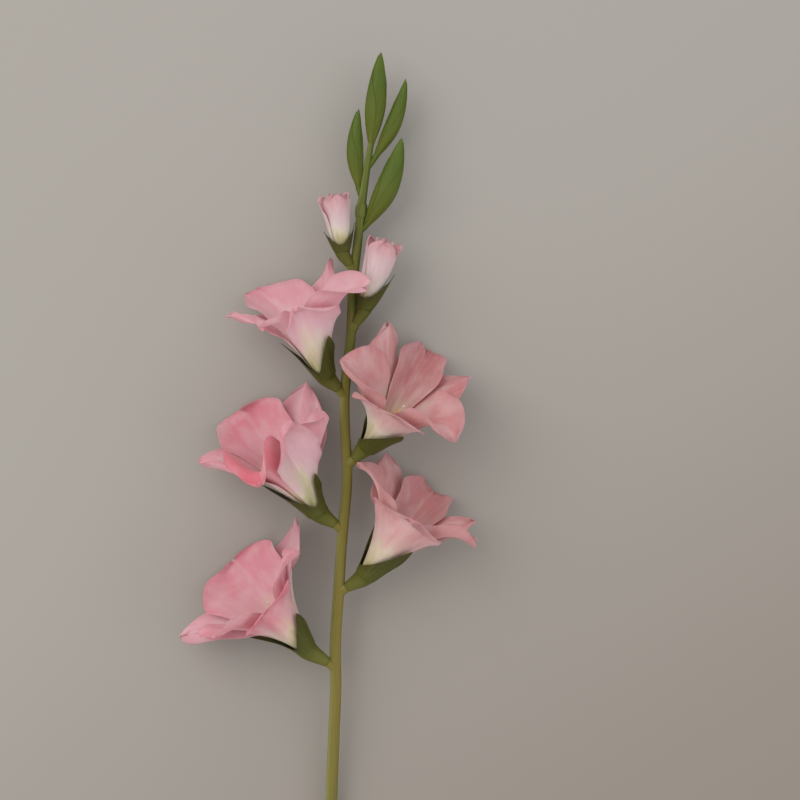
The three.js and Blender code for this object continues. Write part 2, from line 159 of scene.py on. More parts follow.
def spline(points: Array, count: int) -> Array:
    """Draws a smooth open curve through points.

    Args:
        points: The points it passes through, one row each, with any number of columns.
        count: How many points to return.

    Returns:
        Points along the curve, evenly spaced in the index of the points given.
    """
    ends = np.vstack([2 * points[0] - points[1], points, 2 * points[-1] - points[-2]])
    t = np.linspace(0, len(points) - 1, count)
    i = np.minimum(np.floor(t).astype(int), len(points) - 2)
    return between(*(ends[i + k] for k in range(4)), (t - i)[:, None])


def bezier(a: Array, b: Array, c: Array, d: Array, s: Array) -> Array:
    """Reads a cubic curve from a to d at s.

    Args:
        a: The start.
        b: The point that the curve leaves towards.
        c: The point that it arrives from.
        d: The end.
        s: Where to read it, from 0 to 1.

    Returns:
        The points at s.
    """
    s = np.asarray(s)[..., None]
    r = 1.0 - s
    return a * r**3 + 3 * b * r * r * s + 3 * c * r * s * s + d * s**3


def square_to(axis: Array) -> tuple[Array, Array]:
    """Finds two directions square to an axis and to each other.

    Args:
        axis: A direction that doesn't stand upright.

    Returns:
        The two directions.
    """
    side = unit(np.cross(axis, np.array([0.3, 0.1, 1.0])))
    return side, np.cross(side, axis)


def linear(colour: str, alpha: float = 1.0) -> tuple[float, float, float, float]:
    """Turns an sRGB hex colour to linear.

    Args:
        colour: Six hex digits after a hash sign.
        alpha: The fourth number.

    Returns:
        Red, green, blue and alpha.
    """
    parts = [int(colour[k : k + 2], 16) / 255 for k in (1, 3, 5)]
    r, g, b = (p / 12.92 if p <= 0.04045 else ((p + 0.055) / 1.055) ** 2.4 for p in parts)
    return r, g, b, alpha


# ---------------------------------------------------------------- from millimetres to meshes


def foot_of_stem() -> Array:
    """Finds where the spike's own origin is in the object's frame.

    Returns:
        Millimetres to add to a place in the spike's frame.
    """
    places = np.array([v.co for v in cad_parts["stem"].data.vertices]) / METRE
    low = places[places[:, 1] < places[:, 1].min() + 0.05]
    return low.mean(axis=0) - np.array([0.0, 0.0, FOOT_HEIGHT])


SHIFT = foot_of_stem()


@dataclass
class Surface:
    """Points and faces of one closed surface, with what its finish needs to know at each point."""

    points: Array
    faces: list[tuple[int, ...]]
    place: Array  # round or across, along, and a number that the finish reads in its own way
    grain: Array  # millimetres across and along, and a number for the piece

    def joined(self, other: Surface) -> Surface:
        """Puts two surfaces into one.

        Args:
            other: The surface to add.

        Returns:
            A surface with both.
        """
        start = len(self.points)
        moved = [tuple(i + start for i in face) for face in other.faces]
        return Surface(
            np.vstack([self.points, other.points]),
            self.faces + moved,
            np.vstack([self.place, other.place]),
            np.vstack([self.grain, other.grain]),
        )


def sheet_surface(top: Array, bottom: Array, place: Array, under: Array, grain: Array) -> Surface:
    """Closes two grids of points into a thin sheet.

    Args:
        top: One face, rows by columns by three.
        bottom: The other face, the same shape.
        place: Where each point of the first face is on the sheet.
        under: The same for the other face.
        grain: Both faces' places in millimetres.

    Returns:
        The closed sheet.
    """
    rows, columns = top.shape[:2]
    size = rows * columns
    index = np.arange(size).reshape(rows, columns)
    a, b, c, d = index[:-1, :-1], index[:-1, 1:], index[1:, 1:], index[1:, :-1]
    front = stacked(a, b, c, d).reshape(-1, 4)
    back = stacked(a, d, c, b).reshape(-1, 4) + size
    rim = np.concatenate([index[0, :], index[1:, -1], index[-1, -2::-1], index[-2::-1, 0]])
    edge = stacked(rim[:-1], rim[:-1] + size, rim[1:] + size, rim[1:])
    faces = [tuple(int(i) for i in f) for f in np.vstack([front, back, edge])]
    pairs = ((top, bottom), (place, under), (grain, grain))
    points, places, grains = (np.vstack([a.reshape(-1, 3), b.reshape(-1, 3)]) for a, b in pairs)
    return Surface(points, faces, places, grains)


def ring_surface(rings: Array, place: Array, grain: Array) -> Surface:
    """Joins rings of points into a closed skin with a cap at each end.

    Args:
        rings: Rings by points round each by three.
        place: Where each point is on the skin.
        grain: The same in millimetres.

    Returns:
        The closed skin.
    """
    count, sides = rings.shape[:2]
    index = np.arange(count * sides).reshape(count, sides)
    turned = np.roll(index, -1, axis=1)
    skin = stacked(index[:-1], turned[:-1], turned[1:], index[1:]).reshape(-1, 4)
    faces = [tuple(int(i) for i in f) for f in skin]
    first, last = count * sides, count * sides + 1
    faces += [(first, int(turned[0, i]), int(index[0, i])) for i in range(sides)]
    faces += [(last, int(index[-1, i]), int(turned[-1, i])) for i in range(sides)]
    points, places, grains = (
        np.vstack([v.reshape(-1, 3), v[0].mean(axis=0), v[-1].mean(axis=0)]) for v in (rings, place, grain)
    )
    return Surface(points, faces, places, grains)


def mesh_piece(
    name: str, surface: Surface, finish: bpy.types.Material, node: str
) -> bpy.types.Object:
    """Makes a surface into an object that stands for a solid.

    Args:
        name: The object's name.
        surface: Its shape.
        finish: Its material.
        node: The solid that it stands for.

    Returns:
        The object, riding on the one body.
    """
    mesh = bpy.data.meshes.new(name)
    mesh.from_pydata(((surface.points + SHIFT) * METRE).tolist(), [], surface.faces)
    for key, values in (("place", surface.place), ("grain", surface.grain)):
        attribute = mesh.attributes.new(key, "FLOAT_VECTOR", "POINT")
        attribute.data.foreach_set("vector", values.astype(np.float32).ravel())
    mesh.materials.append(finish)
    piece = bpy.data.objects.new(name, mesh)
    bpy.context.scene.collection.objects.link(piece)
    face_outwards(mesh)
    mesh.shade_smooth()
    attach(piece, "root")
    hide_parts(node)
    LOG.info("%s: %d faces for %s", piece.name, len(mesh.polygons), node)
    return piece


def face_outwards(mesh: bpy.types.Mesh) -> None:
    """Turns a closed mesh right side out.

    Args:
        mesh: The mesh whose faces all agree but may look inwards.
    """
    mesh.calc_loop_triangles()
    corners = np.empty(3 * len(mesh.loop_triangles), dtype=np.int32)
    mesh.loop_triangles.foreach_get("vertices", corners)
    places = np.empty(3 * len(mesh.vertices))
    mesh.vertices.foreach_get("co", places)
    a, b, c = places.reshape(-1, 3)[corners.reshape(-1, 3)].transpose(1, 0, 2)
    if np.sum(a * np.cross(b, c)) < 0:
        mesh.flip_normals()


# ---------------------------------------------------------------- finishes

Socket = bpy.types.NodeSocket
Stops = Sequence[tuple[float, str]]
PETAL_PLACES = (0.0, 0.13, 0.24, 0.35, 0.5, 0.7, 1.0)


def add_node(
    tree: bpy.types.NodeTree,
    kind: str,
    inputs: dict[str | int, Any] | None = None,
    stops: Stops = (),
    **settings: Any,
) -> bpy.types.Node:
    """Adds one shader node with its settings and links.

    Args:
        tree: The node tree.
        kind: The node's type name.
        inputs: A value, or another node's output to link, for each input socket.
        stops: Places and hex colours, for a colour ramp.
        settings: The node's own properties.

    Returns:
        The node.
    """
    node = tree.nodes.new(kind)
    for key, value in settings.items():
        setattr(node, key, value)
    for key, value in (inputs or {}).items():
        if isinstance(value, Socket):
            tree.links.new(value, node.inputs[key])
        else:
            node.inputs[key].default_value = value
    for k, (position, colour) in enumerate(stops):
        ramp = node.color_ramp
        stop = ramp.elements[k] if k < 2 else ramp.elements.new(position)
        stop.position = position
        stop.color = linear(colour)
    return node


def new_material(name: str) -> tuple[bpy.types.Material, bpy.types.NodeTree]:
    """Makes an empty node material.

    Args:
        name: Its name.

    Returns:
        The material and its node tree.
    """
    material = bpy.data.materials.new(name)
    material.use_nodes = True
    material.node_tree.nodes.clear()
    return material, material.node_tree


def read_points(tree: bpy.types.NodeTree) -> tuple[Socket, Socket, Socket, Socket]:
    """Reads what the mesh holds at each point.

    Args:
        tree: The node tree.

    Returns:
        The three numbers of its place, and its grain.
    """
    keys = ("place", "grain")
    place, grain = (add_node(tree, "ShaderNodeAttribute", attribute_name=k).outputs["Vector"] for k in keys)
    across, along, third = add_node(tree, "ShaderNodeSeparateXYZ", {0: place}).outputs
    return across, along, third, grain


def drawn_out(
    tree: bpy.types.NodeTree, grain: Socket, stretch: Point, detail: float, roughness: float = 0.5
) -> Socket:
    """Reads noise in a stretched space, such as streaks along the grain.

    Args:
        tree: The node tree.
        grain: The places in millimetres.
        stretch: What to multiply them by.
        detail: How many finer layers the noise has.
        roughness: How strong the finer layers are.

    Returns:
        The noise, about 0.5 on average.
    """
    space = add_node(tree, "ShaderNodeVectorMath", {0: grain, 1: stretch}, operation="MULTIPLY")
    inputs = {"Vector": space.outputs[0], "Scale": 1.0, "Detail": detail, "Roughness": roughness}
    return add_node(tree, "ShaderNodeTexNoise", inputs).outputs[0]


def layered(tree: bpy.types.NodeTree, under: Any, layers: Sequence[tuple[Socket, str | Socket]]) -> Socket:
    """Lays colours over one another.

    Args:
        tree: The node tree.
        under: The lowest colour.
        layers: The share and the colour of each layer, from the lowest up.

    Returns:
        The colour that is seen.
    """
    for share, colour in layers:
        over = linear(colour) if isinstance(colour, str) else colour
        under = add_node(tree, "ShaderNodeMix", {0: share, 6: under, 7: over}, data_type="RGBA").outputs[2]
    return under


def along_petal(*colours: str, places: Sequence[float] = PETAL_PLACES) -> Stops:
    """Sets colours along a petal, from its claw to its tip.

    Args:
        colours: Hex colours, one for each place.
        places: Where they are, from 0 at the claw to 1 at the tip.

    Returns:
        The stops of a colour ramp.
    """
    return tuple(zip(places, colours))


class Tone(Enum):
    """How fresh a floret's colour is, and whether its petals carry painted shade."""

    YOUNG = "young"
    FRESH = "fresh"
    SHADED = "shaded"


@dataclass(frozen=True)
class PetalTissue:
    """Fresh petal: cells full of water under a skin of tiny domes, which scatter light and let some
    through. To the eye it is soft and matt, with fine veins from claw to margin, a pale line up the
    middle and a cream-green base."""

    name: str = "fresh_petal_tissue"
    base: Stops = along_petal("#9FA05C", "#CDC592", "#E9DCC0", "#F1D3CC", "#F2C4D0", "#EEB3C1", "#EAA4B3")
    blush: Stops = along_petal("#9FA05C", "#CFC28E", "#EBCDB4", "#EDAFAE", "#EA8798", "#E87689", "#E66C81")
    vein: str = "#F7D9DC"
    # painted glow: pale patches of light shining through the tissue
    cloud: str = "#F8E4E8"
    midrib: str = "#F8E3DF"
    rim: str = "#D2697B"
    vein_spacing: float = 1.5  # the real ones stand 1 to 2 mm apart
    vein_length: float = 30.0
    vein_strength: float = 0.13
    glow_strength: float = 0.4
    roughness: float = 0.62
    light_through: float = 0.25

    def material(self) -> bpy.types.Material:
        """Builds the node material."""
        material, tree = new_material(self.name)
        across, along, blushing, grain = read_points(tree)
        sideways = add_node(tree, "ShaderNodeMath", {0: across}, operation="ABSOLUTE").outputs[0]
        veins = drawn_out(tree, grain, (1.0 / self.vein_spacing, 1.0 / self.vein_length, 7.3), 3.0, 0.6)
        mottle = drawn_out(tree, grain, (0.09, 0.05, 3.1), 2.0)
        # Painted glow: soft pale patches where light shines through the petal.
        glow_patches = drawn_out(tree, grain, (0.13, 0.06, 1.7), 3.0)
        wander, veined, clouded, ribbed, margin, outer = (
            add_node(tree, "ShaderNodeMapRange", dict(enumerate(row))).outputs[0]
            for row in (
                (mottle, 0.3, 0.7, -0.1, 0.12),
                (veins, 0.35, 0.68, 0.0, self.vein_strength),
                (glow_patches, 0.45, 0.75, 0.0, self.glow_strength),
                (sideways, 0.0, 0.12, 0.14, 0.0),
                (sideways, 0.88, 1.0, 0.0, 0.25),
                (along, 0.35, 0.7, 0.0, 1.0),
            )
        )
        rimmed = add_node(tree, "ShaderNodeMath", {0: margin, 1: outer}, operation="MULTIPLY").outputs[0]
        height = add_node(tree, "ShaderNodeMath", {0: along, 1: wander}, operation="ADD").outputs[0]
        ramps = (self.base, self.blush)
        pale, deep = (add_node(tree, "ShaderNodeValToRGB", {0: height}, ramp).outputs[0] for ramp in ramps)
        layers = (
            (blushing, deep),
            (veined, self.vein),
            # painted glow of light shining through
            (clouded, self.cloud),
            (ribbed, self.midrib),
            (rimmed, self.rim),
        )
        colour = layered(tree, pale, layers)
        bump = {"Strength": 0.25, "Distance": 0.0002, "Height": veins}
        relief = add_node(tree, "ShaderNodeBump", bump).outputs[0]
        skin = add_node(
            tree,
            "ShaderNodeBsdfPrincipled",
            {
                "Base Color": colour,
                "Roughness": self.roughness,
                "Subsurface Weight": 0.35,
                "Subsurface Radius": (1.0, 0.6, 0.55),
                "Subsurface Scale": 0.002,
                "Sheen Weight": 0.35,
                "Sheen Roughness": 0.5,
                "Specular IOR Level": 0.35,
                "Normal": relief,
            },
        )
        through = add_node(tree, "ShaderNodeBsdfTranslucent", {"Color": colour, "Normal": relief})
        shares = {0: self.light_through, 1: skin.outputs[0], 2: through.outputs[0]}
        both = add_node(tree, "ShaderNodeMixShader", shares)
        add_node(tree, "ShaderNodeOutputMaterial", {0: both.outputs[0]})
        return material


PETAL_TISSUES = {
    Tone.FRESH: PetalTissue(),
    # painted shade: a darker, duller copy of the fresh tissue for the florets on the side away from the
    # light
    Tone.SHADED: PetalTissue(
        name="shaded_petal_tissue",
        base=along_petal("#9FA05C", "#CDC592", "#E6DAC2", "#E6C4BA", "#E3AEAE", "#DDA0A1", "#D99498"),
        blush=along_petal("#9FA05C", "#CFC28E", "#E3C4AC", "#DBA29C", "#D68A8D", "#CF797F", "#CC6E78"),
    ),
    Tone.YOUNG: PetalTissue(
        name="young_petal_tissue",
        base=along_petal(
            "#9FA05C", "#CDC592", "#E6DCC6", "#EADAD2", "#E8CDCF", "#E5BCC2", "#E0A2AC",
            places=(0.0, 0.13, 0.24, 0.35, 0.5, 0.75, 1.0),
        ),
    ),
}


@dataclass(frozen=True)
class WaxyGreen:
    """Green leaf skin under a thin wax: stems, spathes and buds grow with fine ribs along them, and
    the wax gives a soft satin gleam that the ribs break into lines. Its colour drifts along the
    piece, a sheath's inner side is darkened with painted shade, and a stem can carry a painted
    highlight, a paler green, down the flank that faces the light."""

    name: str
    colours: Stops
    pale: str
    # painted shade: the darker colour laid on a sheath's inner side, inside its cup
    inside: str = "#4A4A20"
    rib_spacing: float = 0.9  # real ribs stand 0.5 to 1 mm apart
    rib_length: float = 40.0
    roughness: float = 0.5
    bloom: float = 0.25
    # painted highlight: a paler green laid down the flank that faces the light
    lit_flank: str | None = None
    lit_flank_at: float = 0.55  # in turns round the stem

    def material(self) -> bpy.types.Material:
        """Builds the node material."""
        material, tree = new_material(self.name)
        across, along, inner_shade, grain = read_points(tree)
        ribs = drawn_out(tree, grain, (1.0 / self.rib_spacing, 1.0 / self.rib_length, 5.1), 3.0, 0.55)
        mottle = drawn_out(tree, grain, (0.2, 0.05, 2.3), 4.0)
        wander, ribbed, gloss = (
            add_node(tree, "ShaderNodeMapRange", dict(enumerate(row))).outputs[0]
            for row in (
                (mottle, 0.3, 0.7, -0.14, 0.14),
                (ribs, 0.4, 0.7, 0.0, self.bloom),
                (mottle, 0.3, 0.7, self.roughness - 0.06, self.roughness + 0.1),
            )
        )
        height = add_node(tree, "ShaderNodeMath", {0: along, 1: wander}, operation="ADD").outputs[0]
        body = add_node(tree, "ShaderNodeValToRGB", {0: height}, self.colours).outputs[0]
        layers = [(ribbed, self.pale)]
        # Painted highlight: the flank that faces the light is laid over with a paler green.
        if self.lit_flank:
            off = add_node(tree, "ShaderNodeMath", {0: across, 1: self.lit_flank_at}, operation="SUBTRACT")
            apart = add_node(tree, "ShaderNodeMath", {0: off.outputs[0]}, operation="ABSOLUTE")
            highlight_fade = {0: apart.outputs[0], 1: 0.04, 2: 0.16, 3: 0.85, 4: 0.0}
            share = add_node(tree, "ShaderNodeMapRange", highlight_fade, interpolation_type="SMOOTHSTEP")
            layers.append((share.outputs[0], self.lit_flank))
        # Painted shade: a sheath's inner side is laid over with a darker colour.
        layers.append((inner_shade, self.inside))
        bump = {"Strength": 0.6, "Distance": 0.0003, "Height": ribs}
        skin = add_node(
            tree,
            "ShaderNodeBsdfPrincipled",
            {
                "Base Color": layered(tree, body, layers),
                "Roughness": gloss,
                "Subsurface Weight": 0.12,
                "Subsurface Radius": (0.5, 1.0, 0.2),
                "Subsurface Scale": 0.001,
                "Specular IOR Level": 0.22,
                "Normal": add_node(tree, "ShaderNodeBump", bump).outputs[0],
            },
        )
        add_node(tree, "ShaderNodeOutputMaterial", {0: skin.outputs[0]})
        return material


@dataclass(frozen=True)
class StamenTissue:
    """Filaments are smooth and watery, and anthers are split open under dry pollen, so the strands
    look faintly glassy and the ends look dusty and yellow."""

    name: str = "filament_and_pollen"
    filament: str = "#F0E4CF"
    pollen: str = "#D9A94A"
    dust: str = "#EFD58A"

    def material(self) -> bpy.types.Material:
        """Builds the node material."""
        material, tree = new_material(self.name)
        *_, on_anther, grain = read_points(tree)
        cloud = add_node(tree, "ShaderNodeTexNoise", {"Vector": grain, "Scale": 2.5, "Detail": 4.0})
        noise = cloud.outputs[0]
        dusted = add_node(tree, "ShaderNodeMapRange", {0: noise, 1: 0.4, 2: 0.65, 3: 0.0, 4: 1.0}).outputs[0]
        pollen = layered(tree, linear(self.pollen), [(dusted, self.dust)])
        bump = {"Strength": 0.6, "Distance": 0.0002, "Height": noise}
        skin = add_node(
            tree,
            "ShaderNodeBsdfPrincipled",
            {
                "Base Color": layered(tree, linear(self.filament), [(on_anther, pollen)]),
                "Roughness": 0.6,
                "Subsurface Weight": 0.2,
                "Subsurface Scale": 0.001,
                "Normal": add_node(tree, "ShaderNodeBump", bump).outputs[0],
            },
        )
        add_node(tree, "ShaderNodeOutputMaterial", {0: skin.outputs[0]})
        return material


@dataclass(frozen=True)
class MattBoard:
    """Painted board with a dead flat coat: no gleam, the faintest unevenness, and painted shade, a
    warmer, darker tone that comes in softly towards the lower right, where the light falls off."""

    name: str = "matt_board"
    colour: str = "#A3A09C"
    cloud: str = "#99958F"
    # painted shade where the light falls off towards the lower right
    toned: str = "#8C847C"
    shade_toward: Point = (0.55, -0.85, 0.0)  # the way that the painted shade deepens
    shade_from: float = -0.19
    shade_to: float = 0.48

    def material(self) -> bpy.types.Material:
        """Builds the node material."""
        material, tree = new_material(self.name)
        where = add_node(tree, "ShaderNodeTexCoord").outputs["Object"]
        noise = add_node(tree, "ShaderNodeTexNoise", {"Vector": where, "Scale": 1.5, "Detail": 2.0})
        uneven = {0: noise.outputs[0], 1: 0.3, 2: 0.7, 3: 0.0, 4: 0.12}
        clouded = add_node(tree, "ShaderNodeMapRange", uneven).outputs[0]
        # Painted shade: darker and warmer towards the lower right, where the light falls off.
        slope = add_node(tree, "ShaderNodeVectorMath", {0: where, 1: self.shade_toward}, operation="DOT_PRODUCT")
        second = {0: slope.outputs["Value"], 1: self.shade_from, 2: self.shade_to, 3: 0.0, 4: 1.0}
        painted_falloff = add_node(tree, "ShaderNodeMapRange", second, interpolation_type="SMOOTHSTEP").outputs[0]
        colour = layered(tree, linear(self.colour), [(clouded, self.cloud), (painted_falloff, self.toned)])
        coat = {"Base Color": colour, "Roughness": 0.95, "Specular IOR Level": 0.1}
        skin = add_node(tree, "ShaderNodeBsdfPrincipled", coat)
        add_node(tree, "ShaderNodeOutputMaterial", {0: skin.outputs[0]})
        return material


class Finishes:
    """The spike's finishes, made once and shared by its pieces."""

    def __init__(self) -> None:
        """Builds every finish."""
        self.petals = {tone: tissue.material() for tone, tissue in PETAL_TISSUES.items()}
        self.stem = WaxyGreen(
            name="waxy_stem_skin",
            colours=(
                (0.0, "#6C6830"),
                (0.3, "#766B2F"),
                (0.6, "#756A2B"),
                (0.85, "#5B6426"),
                (1.0, "#526020"),
            ),
            pale="#86854A",
            # painted highlight down the stem's lit flank
            lit_flank="#838650",
        ).material()
        self.spathe = WaxyGreen(
            name="leathery_spathe_skin",
            colours=((0.0, "#66652B"), (0.4, "#565820"), (0.7, "#484C1A"), (1.0, "#403D18")),
            pale="#6B6F35",
        ).material()
        self.bud = WaxyGreen(
            name="waxy_bud_skin",
            colours=((0.0, "#5F631F"), (0.25, "#545D19"), (0.7, "#475A19"), (1.0, "#52651F")),
            pale="#6C7B30",
            rib_spacing=0.8,
            bloom=0.2,
        ).material()
        self.stamen = StamenTissue().material()


# ---------------------------------------------------------------- the floret's middle sheet


@dataclass(frozen=True)
class Petal:
    """One petal: its tip from the throat, its turn from the axis there (90 is square to it), its
    span (1 reaches the next petal's middle), and how it is finished at its free end."""

    tip: Point
    turn: float
    span: float = 0.9
    lift: float = 2.0
    point: float = 2.2
    taper: float = 0.6
    blush: float = 0.2  # of its inner face
    back: float = 0.1  # of its outer face
    ruffle: float = 2.0
    waves: float = 3.2


class Layer(Enum):
    """Which of the two rounds of petals one belongs to."""

    INNER = 1
    OUTER = -1


def mouth_axes(facing: tuple[float, float]) -> tuple[Array, Array, Array]:
    """Finds the directions of a floret's mouth.

    Args:
        facing: Degrees round from +X and up from the floor that the mouth faces.

    Returns:
        The axis, and the level and the upward direction square to it.
    """
    turned, up = (math.radians(a) for a in facing)
    axis = np.array([math.cos(up) * math.cos(turned), math.cos(up) * math.sin(turned), math.sin(up)])
    side = np.array([math.sin(turned), -math.cos(turned), 0.0])
    return axis, side, np.cross(side, axis)


class Funnel:
    """The smooth sheet that a floret's petals lie on, from the ring at its throat to its tips."""

    def __init__(
        self,
        throat: Point,
        facing: tuple[float, float],
        petals: Sequence[Petal],
        spread: float = THROAT_RADIUS,
        leaving: float = FUNNEL_ANGLE,
    ) -> None:
        """Sets the sheet's directions.

        Args:
            throat: The throat's centre.
            facing: Degrees round from +X and up from the floor that the mouth faces.
            petals: The petals in order round the mouth.
            spread: The throat's radius.
            leaving: Degrees from the axis at which the petals leave it.
        """
        self.throat = np.array(throat)
        self.spread = spread
        self.leaving = math.radians(leaving)
        self.axis, self.side, self.front = mouth_axes(facing)
        self.tips = np.array([p.tip for p in petals])
        self.turns = np.array([[p.turn] for p in petals])

    def bearing(self, u: Array) -> Array:
        """Gives the angle round the axis of the sheet at u petals round."""
        tip = around(self.tips, u)
        return np.arctan2(tip @ self.front, tip @ self.side)

    def middle(self, u: Array, s: Array) -> Array:
        """Places points on the sheet.

        Args:
            u: Petals round the mouth.
            s: 0 at the throat, 1 at the tips.

        Returns:
            The points, in the spike's frame.
        """
        tip = around(self.tips, u)
        angle = self.bearing(u)[..., None]
        out = np.cos(angle) * self.side + np.sin(angle) * self.front
        turn = np.radians(around(self.turns, u))
        length = np.linalg.norm(tip, axis=-1, keepdims=True)
        start = out * self.spread
        first = start + 0.36 * length * (math.cos(self.leaving) * self.axis + math.sin(self.leaving) * out)
        second = tip - 0.34 * length * (np.cos(turn) * self.axis + np.sin(turn) * out)
        place = bezier(start, first, second, tip, s) + self.throat
        height = (place[..., 2] - FLOOR_CLEARANCE) / FLOOR_SOFTNESS
        place[..., 2] = FLOOR_CLEARANCE + FLOOR_SOFTNESS * np.logaddexp(0.0, height)
        return place

    def offset(self, u: Array, s: Array, distance: Array | float) -> Array:
        """Places points off the sheet.

        Args:
            u: Petals round the mouth.
            s: 0 at the throat, 1 at the tips.
            distance: Millimetres square to the sheet, on the axis's side.

        Returns:
            The points, in the spike's frame.
        """
        step = 0.01
        across = self.middle(u + step, s) - self.middle(u - step, s)
        along = self.middle(u, s + step) - self.middle(u, s - step)
        return self.middle(u, s) + unit(np.cross(across, along)) * np.asarray(distance)[..., None]


# ---------------------------------------------------------------- petals


@dataclass(frozen=True)
class PetalBlade:
    """Sizes of a petal's mesh and its free relief, in millimetres where not said otherwise."""

    rows: int = 60
    columns: int = 44
    thickness: float = 0.4
    rib_depth: float = 0.21
    rib_width: float = 0.07  # as a share of half the petal
    vein_relief: float = 0.05
    pleat: float = 0.9
    sway: float = 1.1
    side_nibble: float = 0.03  # as a share of its width
    tip_nibble: float = 0.022  # as a share of its length
    top_rest: float = 0.4  # the least height of its upper face over the floor
    under_rest: float = 0.1

    def surface(
        self, funnel: Funnel, index: float, petal: Petal, layer: Layer, swirl: float = 0.0
    ) -> Surface:
        """Lays a petal on the sheet.

        Args:
            funnel: The floret's sheet.
            index: The petal's place round the mouth.
            petal: Its sizes.
            layer: Whether it lies inside or outside the sheet.
            swirl: How far one long edge stands in front of the other, to tuck it under the next.

        Returns:
            The petal's closed surface.
        """
        phase = 1.7 * index + 3.1 * petal.tip[0]
        t = np.linspace(0.0, 1.0, self.rows + 1)[:, None]
        s = (1.0 - (1.0 - t) ** 1.3) * 0.998
        x = np.clip((s - SHOULDER) / (1.0 - SHOULDER), 0.0, 1.0)
        half = petal.span * (1.0 - x**petal.point) ** petal.taper
        across = np.linspace(-1.0, 1.0, self.columns + 1)[None, :]
        across = np.sin(across * math.pi / 2) * 0.35 + across * 0.65
        free = smooth(0.35, 1.0, s)

        # The margin is uneven, at the sides and at the tip.
        uneven = np.sin(19.0 * s + phase + 2.0 * np.sign(across))
        uneven = uneven + np.sin(31.0 * s + 2.0 * phase - 1.5 * across)
        u = index + across * half * (1.0 - self.side_nibble * free * (2.0 + uneven))
        s = s * (1.0 - self.tip_nibble * free * (1.0 + np.sin(6.5 * across + phase)))

        # Away from the sheet it lifts, ruffles at its margins, folds in pleats and sways as a whole.
        turns = petal.waves * s * (1 + 0.15 * np.sin(phase))
        wave = np.sin(2 * math.pi * turns + phase + 1.3 * np.sign(across))
        ruffle = petal.ruffle * free * np.abs(across) ** 2.2 * (1.0 + wave)
        pleats = self.pleat * free * (1.0 + np.sin(5.4 * across + phase + 2.6 * s))
        sway = self.sway * free * (1 + np.sin(2 * math.pi * (0.6 * across + 0.35 * s) + 0.7 * phase))
        away = LAYER_GAP + petal.lift * s**3 + ruffle + pleats + sway

        # Veins stand up from it, and a midrib is sunk into it that fades out at both ends.
        veins = self.vein_relief * smooth(0.05, 0.3, s) * np.cos(34.0 * across)
        rib = np.exp(-((across / self.rib_width) ** 2)) * smooth(0.1, 0.4, s) * (1 - smooth(0.8, 1.0, s))
        distance = layer.value * away + swirl * across + veins - self.rib_depth * rib
        thin = self.thickness * (1.0 - 0.6 * np.abs(across) ** 4) * (1.0 - 0.4 * free)
        top = funnel.offset(u, s, distance + thin / 2)
        bottom = funnel.offset(u, s, distance - thin / 2)
        top[..., 2] = np.maximum(top[..., 2], self.top_rest)
        bottom[..., 2] = np.maximum(bottom[..., 2], self.under_rest)

        size = float(np.linalg.norm(petal.tip))
        place, under = (stacked(across, s, tint) for tint in (petal.blush, petal.back))
        grain = stacked(across * half * 0.32 * size, s * size, phase)
        return sheet_surface(top, bottom, place, under, grain)


# ---------------------------------------------------------------- spathe, tube and stamens


@dataclass(frozen=True)
class SpatheLobe:
    """A spathe's point: its place round the mouth in petals, its reach up them and its width."""

    at: float
    reach: float
    width: float = 1.25


